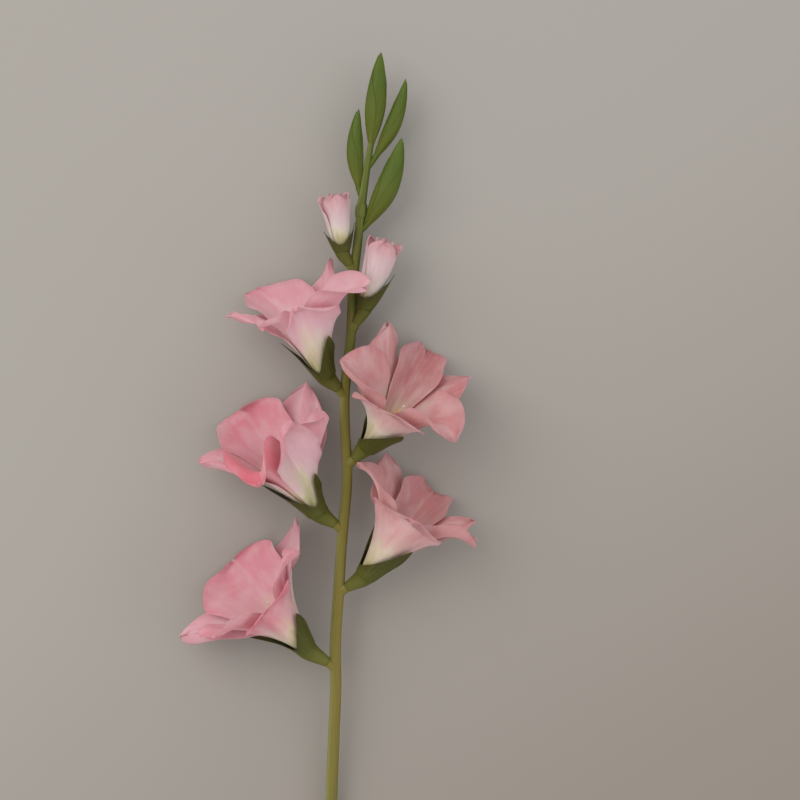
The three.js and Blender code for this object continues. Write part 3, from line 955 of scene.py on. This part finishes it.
@dataclass(frozen=True)
class Spathe:
    """The green sheath at a floret's foot, from the branch up to its long points."""

    joint: Point
    lobes: tuple[SpatheLobe, ...]
    sides: int = 96
    lower_rows: int = 22
    upper_rows: int = 18
    wall: float = 0.7

    def top(self, u: Array) -> Array:
        """Gives how far up the sheet the spathe reaches at u petals round."""
        height = np.full_like(u, SPATHE_NOTCH)
        for lobe in self.lobes:
            apart = np.abs((u - lobe.at + 3.0) % 6.0 - 3.0)
            height = height + lobe.reach * np.maximum(0.0, 1.0 - apart / lobe.width) ** SPATHE_TAPER
        return height

    def lower(self, funnel: Funnel, start: Array, u: Array, wall: float) -> Array:
        """Lofts the sheath's closed foot.

        Args:
            funnel: The floret's sheet.
            start: Where the foot leaves the branch.
            u: Places round the mouth.
            wall: Half the wall, outwards.

        Returns:
            Rings of points.
        """
        petals = np.arange(6.0)
        mouth = funnel.middle(petals, np.full(6, SPATHE_MOUTH)).mean(axis=0)
        along = mouth - start
        bend = start + 0.45 * along
        before = mouth - 0.35 * np.linalg.norm(along) * funnel.axis
        s = np.arange(self.lower_rows) / self.lower_rows
        centre = bezier(start, bend, before, mouth, s)
        ahead = unit(bezier(start, bend, before, mouth, s + 0.02) - centre)
        side = unit(funnel.side - (ahead @ funnel.side)[:, None] * ahead)
        front = np.cross(side, ahead)
        rim = funnel.offset(petals, np.full(6, SPATHE_MOUTH), np.full(6, -SPATHE_OFFSET))
        wide = float(np.linalg.norm(rim - mouth, axis=1).mean())
        radius = STUB_RADIUS + (wide - STUB_RADIUS) * s**0.9 + wall
        angle = funnel.bearing(u)[None, :, None]
        out = np.cos(angle) * side[:, None] + np.sin(angle) * front[:, None]
        return centre[:, None] + radius[:, None, None] * out

    def upper(self, funnel: Funnel, u: Array, wall: float) -> Array:
        """Lofts the sheath's open mouth and its points.

        Args:
            funnel: The floret's sheet.
            u: Places round the mouth.
            wall: Half the wall, outwards.

        Returns:
            Rings of points.
        """
        j = (np.arange(self.upper_rows + 1) / self.upper_rows)[:, None]
        s = SPATHE_MOUTH + (self.top(u)[None, :] - SPATHE_MOUTH) * j
        flare = SPATHE_FLARE * j**2 * np.maximum(0.0, s / 0.4)
        thin = wall * (1.0 - 0.75 * j**3)
        return funnel.offset(u[None, :] * np.ones_like(j), s, -SPATHE_OFFSET - flare - thin)

    def surface(self, funnel: Funnel, seed: float) -> Surface:
        """Builds the sheath.

        Args:
            funnel: The floret's sheet.
            seed: A number that sets its grain apart from its neighbours'.

        Returns:
            The sheath's closed surface.
        """
        joint = np.array(self.joint)
        start = joint + unit(funnel.throat - joint) * (STUB_LENGTH - SPATHE_SLEEVE)
        u = 6.0 * np.arange(self.sides) / self.sides
        outside, inside = (
            np.concatenate([self.lower(funnel, start, u, wall), self.upper(funnel, u, wall)])
            for wall in (self.wall / 2, -self.wall / 2)
        )
        inside = inside[self.lower_rows // 3 :][::-1]
        outward, inward = np.linspace(0.0, 1.0, len(outside)), np.linspace(1.0, 0.2, len(inside))
        along = np.concatenate([outward, inward])[:, None]
        # the inner side is marked for the painted shade that its finish lays on it
        inner_shade = np.concatenate([np.zeros(len(outside)), np.ones(len(inside))])[:, None]
        turns = (u / 6.0)[None, :]
        length = float(np.linalg.norm(funnel.throat - start)) + 25.0
        place = stacked(turns, along, inner_shade)
        grain = stacked(np.abs(turns - 0.5) * 48.0, along * length, seed)
        return ring_surface(np.concatenate([outside, inside]), place, grain)


def turned_surface(profile: Array, axis: Array, origin: Array, sides: int, seed: float) -> Surface:
    """Turns a profile of (radius, height) about an axis.

    Args:
        profile: Radii and heights, one row for each ring.
        axis: The direction of height.
        origin: The place of height 0 on the axis.
        sides: Points round each ring.
        seed: A number for the grain.

    Returns:
        The closed surface.
    """
    side, front = square_to(axis)
    turns = np.arange(sides) / sides
    angle = 2 * math.pi * turns[:, None]
    radius, height = profile.T[:, :, None, None]
    rings = origin + height * axis + radius * (np.cos(angle) * side + np.sin(angle) * front)
    along = np.linspace(0.0, 1.0, len(profile))[:, None]
    return ring_surface(rings, stacked(turns, along, 0.0), stacked(turns * 20.0, along * 30.0, seed))


def strand_surface(
    points: Array, radii: Array, sides: int, seed: float, kinds: Array | float = 0.0
) -> Surface:
    """Draws a round strand along points.

    Args:
        points: The strand's middle line.
        radii: Its radius at each point.
        sides: Points round it.
        seed: A number for the grain.
        kinds: What the finish reads as its third place, at each point.

    Returns:
        The closed surface.
    """
    turns = np.arange(sides) / sides
    angle = 2 * math.pi * turns[:, None]
    side = np.array([1.0, 0.0, 0.0])
    rings = []
    for place, ahead, radius in zip(points, unit(np.gradient(points, axis=0)), radii):
        side = unit(side - (side @ ahead) * ahead)
        rings.append(place + radius * (np.cos(angle) * side + np.sin(angle) * np.cross(ahead, side)))
    steps = np.linalg.norm(np.diff(points, axis=0), axis=1)
    length = np.concatenate([[0.0], np.cumsum(steps)])[:, None]
    folded = np.abs(turns - 0.5) * 2.0 * math.pi * radii[:, None]
    place = stacked(turns, length / length[-1], np.reshape(kinds, (-1, 1)))
    return ring_surface(np.array(rings), place, stacked(folded, length, seed))


def tube_surface(funnel: Funnel, seed: float, sides: int = 48) -> Surface:
    """Turns the cup at the foot of an open floret that its petals rise from.

    Args:
        funnel: The floret's sheet.
        seed: A number for the grain.
        sides: Points round it.

    Returns:
        The cup's closed surface.
    """
    foot, mouth = -TUBE_LENGTH, -2.4
    steps = np.linspace(0.0, 1.0, 9)
    swell = TUBE_RADIUS - TUBE_FOOT_RADIUS
    outer = [(TUBE_FOOT_RADIUS + swell * math.sin(h * math.pi / 2), foot + 4.0 * h) for h in steps]
    lip = [(TUBE_RADIUS, mouth), (TUBE_RADIUS - 0.05, -1.3), (TUBE_RADIUS - 0.4, -1.1)]
    lip += [(TUBE_BORE + 0.1, -1.25), (TUBE_BORE, mouth)]
    inner = [(TUBE_BORE - (TUBE_BORE - 2.2) * h**2, foot / 2 - 2.7 * h) for h in steps]
    return turned_surface(np.array(outer + lip + inner), funnel.axis, funnel.throat, sides, seed)


@dataclass(frozen=True)
class Stamens:
    """Three filaments with long anthers and one style, standing in the throat."""

    reach: float = 32.0
    anther_length: float = 9.5
    anther_radius: float = 0.95
    filament_radius: float = 0.5
    style_reach: float = 38.0
    style_radius: float = 0.42
    least_radius: float = 0.12
    spacing: float = 0.8  # between the axis and each strand's foot

    def surface(self, funnel: Funnel, seed: float) -> Surface:
        """Builds the strands and their plug.

        Args:
            funnel: The floret's sheet.
            seed: A number for the grain.

        Returns:
            One surface of all of them.
        """
        floor = 1.6 - TUBE_LENGTH
        foot = floor + 1.0
        plug = np.array([(1.2, floor), (1.5, floor + 0.6), (1.6, floor + 1.8), (1.2, floor + 2.4)])
        whole = turned_surface(plug, funnel.axis, funnel.throat, 20, seed)
        side, front = square_to(funnel.axis)
        s = np.linspace(0.0, 1.0, 44)

        def line(reach: float, spread: float, out: Array) -> Array:
            """Draws a strand's middle line, which leans outwards by spread."""
            rise = (foot + (reach - foot) * s)[:, None] * funnel.axis
            return funnel.throat + rise + (self.spacing + spread * s * s)[:, None] * out

        share = self.anther_length / (self.reach - floor)
        up = np.clip((s - 1.0 + share) / share, 0.0, 1.0)
        anther = np.sin(np.pi * np.clip(up, 0.02, 0.985)) ** 0.45 * (up > 0)
        radii = np.maximum(self.filament_radius * (1 - 0.3 * s) * (up <= 0.3), self.anther_radius * anther)
        radii = np.maximum(radii, self.least_radius)
        kinds = (up > 0.02).astype(float)
        for k in range(3):
            angle = math.radians(30 + 120 * k)
            out = math.cos(angle) * side + math.sin(angle) * front
            whole = whole.joined(strand_surface(line(self.reach, 3.2, out), radii, 14, seed + k, kinds))
        radii = self.style_radius - 0.1 * s + 0.35 * smooth(0.93, 1.0, s)
        return whole.joined(strand_surface(line(self.style_reach, 0.4, -front), radii, 12, seed + 5))


# ---------------------------------------------------------------- florets


@dataclass(frozen=True)
class Floret:
    """Where a floret joins the stem, where its throat is, which way it faces, and its spathe."""

    name: str
    joint: Point
    throat: Point
    facing: tuple[float, float]
    lobes: tuple[SpatheLobe, ...]

    def sheath(self, funnel: Funnel, finishes: Finishes, seed: float) -> bpy.types.Object:
        """Builds and dresses the floret's spathe.

        Args:
            funnel: The floret's sheet.
            finishes: The spike's finishes.
            seed: A number that sets its grain apart.

        Returns:
            The spathe.
        """
        surface = Spathe(self.joint, self.lobes).surface(funnel, seed)
        name = f"{self.name}_spathe"
        return mesh_piece(f"{name}_skin", surface, finishes.spathe, name)


@dataclass(frozen=True)
class OpenFloret(Floret):
    """A floret in full bloom: spathe, tube, stamens and six petals in two rounds."""

    petals: tuple[Petal, ...]
    tone: Tone = Tone.FRESH
    blade: PetalBlade = PetalBlade()

    def build(self, finishes: Finishes, seed: float) -> list[bpy.types.Object]:
        """Builds and dresses the floret.

        Args:
            finishes: The spike's finishes.
            seed: A number that sets its grain apart.

        Returns:
            Its pieces.
        """
        name, tissue = self.name, finishes.petals[self.tone]
        funnel = Funnel(self.throat, self.facing, self.petals)
        tube = tube_surface(funnel, seed)
        stamens = Stamens().surface(funnel, seed)
        made = [
            self.sheath(funnel, finishes, seed),
            mesh_piece(f"{name}_tube_skin", tube, tissue, f"{name}_tube"),
            mesh_piece(f"{name}_stamen_set", stamens, finishes.stamen, f"{name}_stamens"),
        ]
        for k, petal in enumerate(self.petals):
            layer = Layer.INNER if k % 2 == 0 else Layer.OUTER
            surface = self.blade.surface(funnel, k, petal, layer)
            node = f"{name}_petal_{k + 1}"
            made.append(mesh_piece(f"{node}_blade", surface, tissue, node))
        return made


@dataclass(frozen=True)
class HalfOpenFloret(Floret):
    """A floret whose petals are still furled: an outer roll and an inner one in a spathe."""

    length: float
    mouth: float
    blade: PetalBlade = PetalBlade(rows=48, columns=36, pleat=0.15)

    def funnel(self) -> Funnel:
        """Makes the narrow sheet that the rolls lie on."""
        axis, side, front = mouth_axes(self.facing)
        petals = []
        for k in range(6):
            angle = math.pi * k / 3
            tip = axis * self.length + self.mouth * (side * math.cos(angle) + front * math.sin(angle))
            petals.append(Petal(tuple(tip), FURLED_TURN))
        return Funnel(self.throat, self.facing, petals, FURLED_RADIUS, FURLED_ANGLE)

    def roll(self, funnel: Funnel, first: float, layer: Layer) -> Surface:
        """Wraps three petals round the sheet, each with one edge under the next.

        Args:
            funnel: The narrow sheet.
            first: The first petal's place round it.
            layer: Whether the roll is the inner or the outer one.

        Returns:
            One surface of the three.
        """
        tip = tuple(funnel.tips[0])
        petal = Petal(tip, FURLED_TURN, 1.25, 0.8, 3.2, blush=0.1, back=0.0, ruffle=0.5, waves=1.6)
        places = [first + 2 * k for k in range(3)]
        whole, *others = (self.blade.surface(funnel, at, petal, layer, swirl=0.5) for at in places)
        for other in others:
            whole = whole.joined(other)
        return whole

    def build(self, finishes: Finishes, seed: float) -> list[bpy.types.Object]:
        """Builds and dresses the floret.

        Args:
            finishes: The spike's finishes.
            seed: A number that sets its grain apart.

        Returns:
            Its pieces.
        """
        name, funnel, tissue = self.name, self.funnel(), finishes.petals[Tone.YOUNG]
        made = [self.sheath(funnel, finishes, seed)]
        for word, first, layer in (("outer", 1.5, Layer.OUTER), ("inner", 0.5, Layer.INNER)):
            surface = self.roll(funnel, first, layer)
            made.append(mesh_piece(f"{name}_{word}_roll", surface, tissue, f"{name}_{word}_petals"))
        return made


# ---------------------------------------------------------------- buds and stem


@dataclass(frozen=True)
class ClosedBud:
    """A green bud: its body, the bract that wraps most of it with an open seam, and its stalk."""

    name: str
    base: Point
    tip: Point
    width: float
    depth: float
    bow: float
    foot: Point  # where its stalk leaves the stem's middle line
    seam: float = 1.2
    rows: int = 64
    sides: int = 56
    wrap_wall: float = 0.12
    stalk_points: int = 28

    def length(self) -> float:
        """Measures the bud from base to tip."""
        return math.dist(self.base, self.tip)

    def section(self, s: Array, angle: Array | float, grow: Array | float = 0.0) -> Array:
        """Places points on the bud's skin.

        Args:
            s: 0 at the base, 1 at the tip.
            angle: Round the bud.
            grow: Millimetres outwards.

        Returns:
            The points.
        """
        start, end = np.array(self.base), np.array(self.tip)
        ahead = unit(end - start)
        side = unit(np.array([ahead[1], -ahead[0], 0.0]))
        up = np.cross(side, ahead)
        blunt = 1.15 - 0.45 * smooth(0.3, 0.75, s)
        swell = 0.92 * (0.2 * (1 - s) + np.sin(np.pi * s**0.93) ** blunt)
        centre = start + s[..., None] * (end - start) + (self.bow * np.sin(np.pi * s))[..., None] * side
        wide, deep = ((size / 2 * swell + grow) for size in (self.width, self.depth))
        return centre - (wide * np.cos(angle))[..., None] * side + (deep * np.sin(angle))[..., None] * up

    def body(self, seed: float) -> Surface:
        """Lofts the bud itself, with a keel along its back."""
        s = (0.012 + 0.986 * (np.arange(self.rows + 1) / self.rows))[:, None]
        angle = (2 * math.pi * np.arange(self.sides) / self.sides)[None, :]
        off_keel = np.angle(np.exp(1j * (angle - self.seam - math.pi)))
        keel = 0.25 * np.exp(-(off_keel**2) / 0.05) * np.sin(np.pi * s)
        folded = np.abs(angle / math.pi - 1.0)
        grain = stacked(folded * self.width * 1.5, s * self.length(), seed)
        return ring_surface(self.section(s, angle, keel - 0.25), stacked(folded, s, 0.0), grain)

    def wrap(self, seed: float) -> Surface:
        """Wraps the bract round the bud, open along a seam that widens to its tip."""
        s = (0.03 + 0.93 * (np.arange(self.rows + 1) / self.rows))[:, None]
        t = np.linspace(-1.0, 1.0, self.sides + 1)[None, :]
        half = math.pi - 0.95 * (0.25 + 1.9 * smooth(0.25, 1.0, s) ** 1.4)
        angle = self.seam + math.pi + t * half
        top, bottom = (self.section(s, angle, grow) for grow in (self.wrap_wall, -0.2))
        place = stacked(t, s, 0.0)
        grain = stacked(t * half * self.width * 0.5, s * self.length(), seed + 0.4)
        return sheet_surface(top, bottom, place, place, grain)

    def stalk(self, seed: float) -> Surface:
        """Joins the bud to the stem with a short stalk that swells into it."""
        inside = np.array([0.02, 0.1, 0.2])
        core = (self.section(inside, 0.0) + self.section(inside, math.pi)) / 2
        line = spline(np.vstack([np.array(self.foot), core]), self.stalk_points)
        t = np.linspace(0.0, 1.0, self.stalk_points)
        thick = (1.7 + 0.4 * t) * (1.0 - 0.7 * smooth(0.75, 1.0, t))
        return strand_surface(line, thick, 24, seed + 0.8)

    def build(self, finishes: Finishes, seed: float) -> list[bpy.types.Object]:
        """Builds and dresses the bud.

        Args:
            finishes: The spike's finishes.
            seed: A number that sets its grain apart.

        Returns:
            Its one piece.
        """
        surface = self.body(seed).joined(self.wrap(seed)).joined(self.stalk(seed))
        return [mesh_piece(f"{self.name}_skin", surface, finishes.bud, self.name)]


@dataclass(frozen=True)
class Stem:
    """The stem with a short branch to each floret, and the ring left by a lost bract."""

    line: tuple[tuple[float, float, float, float], ...]
    branches: tuple[tuple[Point, Point], ...]
    sides: int = 40
    rings: int = 420
    rib_relief: float = 0.035  # as a share of its radius
    groove_depth: float = 0.16

    def toned(self, surface: Surface) -> Surface:
        """Sets how far along the stem's tones each point is, from its place along the spike."""
        surface.place[:, 1] = np.clip(surface.points[:, 1] / LAST_TONE_AT, 0, 1)
        return surface

    def main(self) -> Surface:
        """Lofts the stem itself, with five soft ribs and a groove between the lowest florets."""
        line = spline(np.array(self.line), self.rings)
        points, radii = line[:, :3], line[:, 3]
        surface = self.toned(strand_surface(points, radii, self.sides, 1.0))
        centre = np.repeat(points, self.sides, axis=0)
        skin = surface.points[: len(centre)]
        out = skin - centre
        angle = 2 * math.pi * np.tile(np.arange(self.sides), self.rings) / self.sides
        ribs = self.rib_relief * np.cos(5 * angle + 0.01 * centre[:, 1])
        near = smooth(170, 190, centre[:, 1]) * (1 - smooth(275, 290, centre[:, 1]))
        groove = self.groove_depth * near * np.exp(-((out[:, 0] + 0.4) ** 2) / 0.35) * (out[:, 2] > 0)
        skin += out * (ribs - groove)[:, None]
        surface.points[:, 2] = np.maximum(surface.points[:, 2], 0.02)
        return surface

    def build(self, finishes: Finishes) -> list[bpy.types.Object]:
        """Builds and dresses the stem.

        Args:
            finishes: The spike's finishes.

        Returns:
            Its one piece.
        """
        whole = self.main()
        t = np.linspace(0.0, 1.0, 16)
        flare = STUB_ROOT_RADIUS + (STUB_RADIUS - STUB_ROOT_RADIUS) * t
        for k, (joint, throat) in enumerate(self.branches):
            start = np.array(joint)
            line = start + (STUB_LENGTH * t)[:, None] * unit(np.array(throat) - start)
            whole = whole.joined(self.toned(strand_surface(line, flare, 28, 2.0 + k)))
        return [mesh_piece("stem_skin", whole, finishes.stem, "stem")]


# ---------------------------------------------------------------- the spike, laid out

LOW_LOBE = SpatheLobe(4.5, 0.12, 2.2)

OPEN_FLORETS = (
    OpenFloret(
        name="floret_1",
        joint=(3.3, 199, 20.7),
        throat=(-17.6, 216, 28.5),
        facing=(128, 22),
        petals=(
            Petal((0, 57, 25), 120, 0.65, 2, 1.8, 0.8, blush=0.4, back=0.3),
            Petal((-22, 20, 46), 165, 0.95, blush=0.9, back=0.75),
            Petal((-54, 2, 27), 85, 0.9, blush=0.45, back=0.35, ruffle=2.6),
            Petal((-83, 4.5, -8), 95, 0.9, 1, 1.5, 0.85, blush=0.1),
            Petal((-47, 53, -37), 75, 0.95, 0.5, blush=0.5),
            Petal((-8, 82, -14), 60, 1.0, 1, 1.8, 0.8, blush=0.05),
        ),
        lobes=(SpatheLobe(2.5, 0.42), SpatheLobe(0.45, 0.34), LOW_LOBE),
    ),
    OpenFloret(
        name="floret_2",
        joint=(5.8, 248, 22.7),
        throat=(25.4, 263, 29.7),
        facing=(50, 20),
        petals=(
            Petal((65, 14, 22), 100, 0.85, 2, 1.4, 0.85, blush=0.3, ruffle=2.8),
            Petal((27, 33, 43), 150, 0.9, blush=0.4, back=0.3),
            Petal((-9, 66, 16), 110, 0.7, 2, 1.6, 0.8, blush=0.15, back=0.0),
            Petal((15, 79, -14), 70, 0.85, 1, blush=0.3, ruffle=2.6),
            Petal((42, 51, -38), 75, 0.95, 0.5, blush=0.35),
            Petal((72, 34, -8), 90, 0.85, 1, 1.4, 0.85, blush=0.5),
        ),
        lobes=(SpatheLobe(0.45, 0.42), SpatheLobe(2.6, 0.34), LOW_LOBE),
        # painted shade for a floret on the side away from the light
        tone=Tone.SHADED,
    ),
    OpenFloret(
        name="floret_3",
        joint=(8.4, 289, 23.7),
        throat=(-9.8, 304, 29.7),
        facing=(124, 22),
        petals=(
            Petal((13, 59, 10), 60, 0.85, blush=0.15),
            Petal((-14, 60, 46), 80, 0.9, blush=0.2, back=0.0),
            Petal((-29, 18, 44), 168, 0.95, blush=0.95, back=0.8),
            Petal((-79, 31, 0), 100, 0.9, 2, 1.8, 0.7, blush=0.3),
            Petal((-51, 63, -38), 80, 0.95, 0.5, blush=0.6),
            Petal((-8, 84, -18), 70, 0.9, 1, blush=0.2),
        ),
        lobes=(SpatheLobe(2.5, 0.42), SpatheLobe(0.45, 0.34), LOW_LOBE),
    ),
    OpenFloret(
        name="floret_4",
        joint=(11.2, 331, 24.2),
        throat=(26.7, 346, 32.5),
        facing=(48, 34),
        petals=(
            Petal((51, 0, 38), 115, 0.85, blush=0.3, ruffle=2.6),
            Petal((5, 22, 46), 150, 0.9, blush=0.3, back=0.1),
            Petal((-22, 49, 24), 95, 0.95, blush=0.35),
            Petal((13, 80, -4), 70, 0.9, 1, blush=0.35, ruffle=2.8),
            Petal((36, 62, -41), 75, 0.95, 0.5, blush=0.5),
            Petal((67, 46, -8), 90, 0.85, 1, 1.5, 0.8, blush=0.7),
        ),
        lobes=(SpatheLobe(0.35, 0.42), SpatheLobe(2.5, 0.34), LOW_LOBE),
        # painted shade for a floret on the side away from the light
        tone=Tone.SHADED,
    ),
    OpenFloret(
        name="floret_5",
        joint=(9.6, 376, 23.7),
        throat=(-3.9, 393, 31.5),
        facing=(115, 25),
        petals=(
            Petal((28, 48, 18), 130, 0.9, blush=0.0),
            Petal((-14, 38, 44), 140, 0.9, blush=0.2, back=0.1),
            Petal((-36, 22, 30), 110, 0.85, 2, 1.8, 0.8, blush=0.2),
            Petal((-66, 37, -2), 105, 0.8, 1, 1.4, 0.85, blush=0.2),
            Petal((-46, 54, -40), 75, 0.95, 0.5, blush=0.2),
            Petal((2, 76, -16), 60, 0.6, 1, 1.3, 0.9, blush=0.3),
        ),
        lobes=(SpatheLobe(2.5, 0.42), SpatheLobe(0.45, 0.36), LOW_LOBE),
    ),
)

HALF_OPEN_FLORETS = (
    HalfOpenFloret(
        name="half_open_1",
        joint=(13.6, 418, 22.9),
        throat=(23.4, 436, 26.9),
        facing=(73, 8),
        length=44,
        mouth=8.8,
        lobes=(SpatheLobe(0, 0.55, 2.4), SpatheLobe(3, 0.25, 2.0)),
    ),
    HalfOpenFloret(
        name="half_open_2",
        joint=(15.6, 456, 22.2),
        throat=(7.6, 473, 25.9),
        facing=(98, 8),
        length=35,
        mouth=7.4,
        lobes=(SpatheLobe(3, 0.34, 2.2), SpatheLobe(0, 0.42, 1.9)),
    ),
)

CLOSED_BUDS = (
    ClosedBud("bud_1", (22.8, 486, 22.6), (46.8, 544, 28), 14.5, 11.5, 3.4, (19.2, 483, 21.8)),
    ClosedBud("bud_2", (18.9, 510, 21.2), (18.7, 563.5, 23), 10.6, 9, -2.6, (21.0, 504, 21.5), seam=2.2),
    ClosedBud("bud_3", (28.2, 530, 20.8), (49.4, 583, 24), 10, 9, 3.4, (24.1, 524, 21.6)),
    ClosedBud("tip_bud", (26.4, 538, 21.8), (33.2, 600, 26), 13, 10.6, 0.2, (24.9, 530, 21.7), seam=2.0),
)

STEM = Stem(
    line=(
        (0, 0, 4.0, 4.0),
        (0, 25, 4.0, 4.0),
        (0, 55, 5.4, 3.95),
        (0.6, 113, 10.4, 3.9),
        (2.2, 153, 15.0, 3.8),
        (3.6, 185, 18.8, 3.7),
        (3.4, 205, 21.2, 3.7),
        (3.8, 222, 22.4, 3.6),
        (5.6, 248, 23.2, 3.6),
        (7.0, 270, 23.6, 3.5),
        (8.6, 291, 23.8, 3.5),
        (10.8, 315, 24.2, 3.45),
        (11.2, 332, 24.4, 3.45),
        (9.8, 354, 24.2, 3.35),
        (9.6, 376, 23.8, 3.3),
        (11.4, 397, 23.4, 3.25),
        (13.8, 418, 23.0, 3.2),
        (14.4, 438, 22.6, 3.15),
        (15.6, 456, 22.2, 3.1),
        (17.9, 476, 21.8, 3.0),
        (19.6, 490.5, 21.6, 3.0),
        (20.0, 494, 21.6, 3.8),
        (20.5, 500, 21.5, 3.8),
        (20.9, 503.5, 21.5, 2.8),
        (24.0, 525, 21.6, 2.3),
        (26.6, 541, 21.9, 2.0),
    ),
    branches=tuple((floret.joint, floret.throat) for floret in OPEN_FLORETS + HALF_OPEN_FLORETS),
)


# ---------------------------------------------------------------- floor, light and camera


@dataclass(frozen=True)
class Lamp:
    """A soft square light: its place and its side in metres, its power in watts and its colour."""

    name: str
    place: Point
    size: float
    energy: float
    colour: str

    def hang(self) -> None:
        """Hangs the light, turned to the spike's middle."""
        data = bpy.data.lights.new(self.name, "AREA")
        data.shape = "SQUARE"
        data.size = self.size
        data.energy = self.energy
        data.color = linear(self.colour)[:3]
        lamp = bpy.data.objects.new(self.name, data)
        lamp.location = self.place
        lamp.rotation_euler = (-Vector(self.place)).to_track_quat("-Z", "Y").to_euler()
        bpy.context.scene.collection.objects.link(lamp)


@dataclass(frozen=True)
class Studio:
    """A plain floor, a broad soft light from the upper left and a camera straight overhead."""

    view_centre: tuple[float, float] = (45.5, 373.75)
    view_width: float = 520.0
    view_height: float = 24.0
    camera_distance: float = 1500.0
    sensor_width: float = 36.0
    floor_size: float = 12.0  # in metres
    floor_drop: float = 0.0003  # in metres
    room_colour: str = "#E9E6E2"
    room_light: float = 1.0
    lamps: tuple[Lamp, ...] = (
        Lamp("key", (-1.3, 0.9, 1.9), 2.2, 26.0, "#FFFAF4"),
        Lamp("fill", (1.6, -0.4, 1.6), 1.8, 7.0, "#EEF2FF"),
    )

    def floor(self) -> None:
        """Lays the floor."""
        half = self.floor_size / 2
        corners = [(-half, -half, 0.0), (half, -half, 0.0), (half, half, 0.0), (-half, half, 0.0)]
        mesh = bpy.data.meshes.new("floor")
        mesh.from_pydata(corners, [], [(0, 1, 2, 3)])
        mesh.materials.append(MattBoard().material())
        floor = bpy.data.objects.new("floor", mesh)
        floor.location.z = -self.floor_drop
        bpy.context.scene.collection.objects.link(floor)

    def surroundings(self) -> None:
        """Fills the room with even pale light."""
        world = bpy.data.worlds.new("room")
        world.use_nodes = True
        world.node_tree.nodes.clear()
        even = {"Color": linear(self.room_colour), "Strength": self.room_light}
        shade = add_node(world.node_tree, "ShaderNodeBackground", even)
        add_node(world.node_tree, "ShaderNodeOutputWorld", {0: shade.outputs[0]})
        bpy.context.scene.world = world

    def camera(self) -> None:
        """Stands the camera over the spike, looking straight down."""
        data = bpy.data.cameras.new("camera")
        data.sensor_width = self.sensor_width
        data.lens = self.sensor_width * self.camera_distance / self.view_width
        data.clip_start = 0.05
        data.clip_end = 50.0
        camera = bpy.data.objects.new("camera", data)
        place = np.array([*self.view_centre, self.view_height + self.camera_distance]) + SHIFT
        camera.location = Vector(place * METRE)
        bpy.context.scene.collection.objects.link(camera)
        bpy.context.scene.camera = camera

    def build(self) -> None:
        """Sets up the whole studio."""
        self.camera()
        self.floor()
        self.surroundings()
        for lamp in self.lamps:
            lamp.hang()


def main() -> None:
    """Builds the studio and the spike."""
    logging.basicConfig(level=logging.INFO, format="%(name)s: %(message)s")
    bpy.context.scene.view_settings.view_transform = "Standard"
    Studio().build()
    finishes = Finishes()
    pieces = STEM.build(finishes)
    for k, floret in enumerate(OPEN_FLORETS + HALF_OPEN_FLORETS):
        pieces += floret.build(finishes, 10.0 + 3.7 * k)
    for k, bud in enumerate(CLOSED_BUDS):
        pieces += bud.build(finishes, 60.0 + 2.9 * k)
    LOG.info("%d pieces in all", len(pieces))


if __name__ == "__main__":
    main()
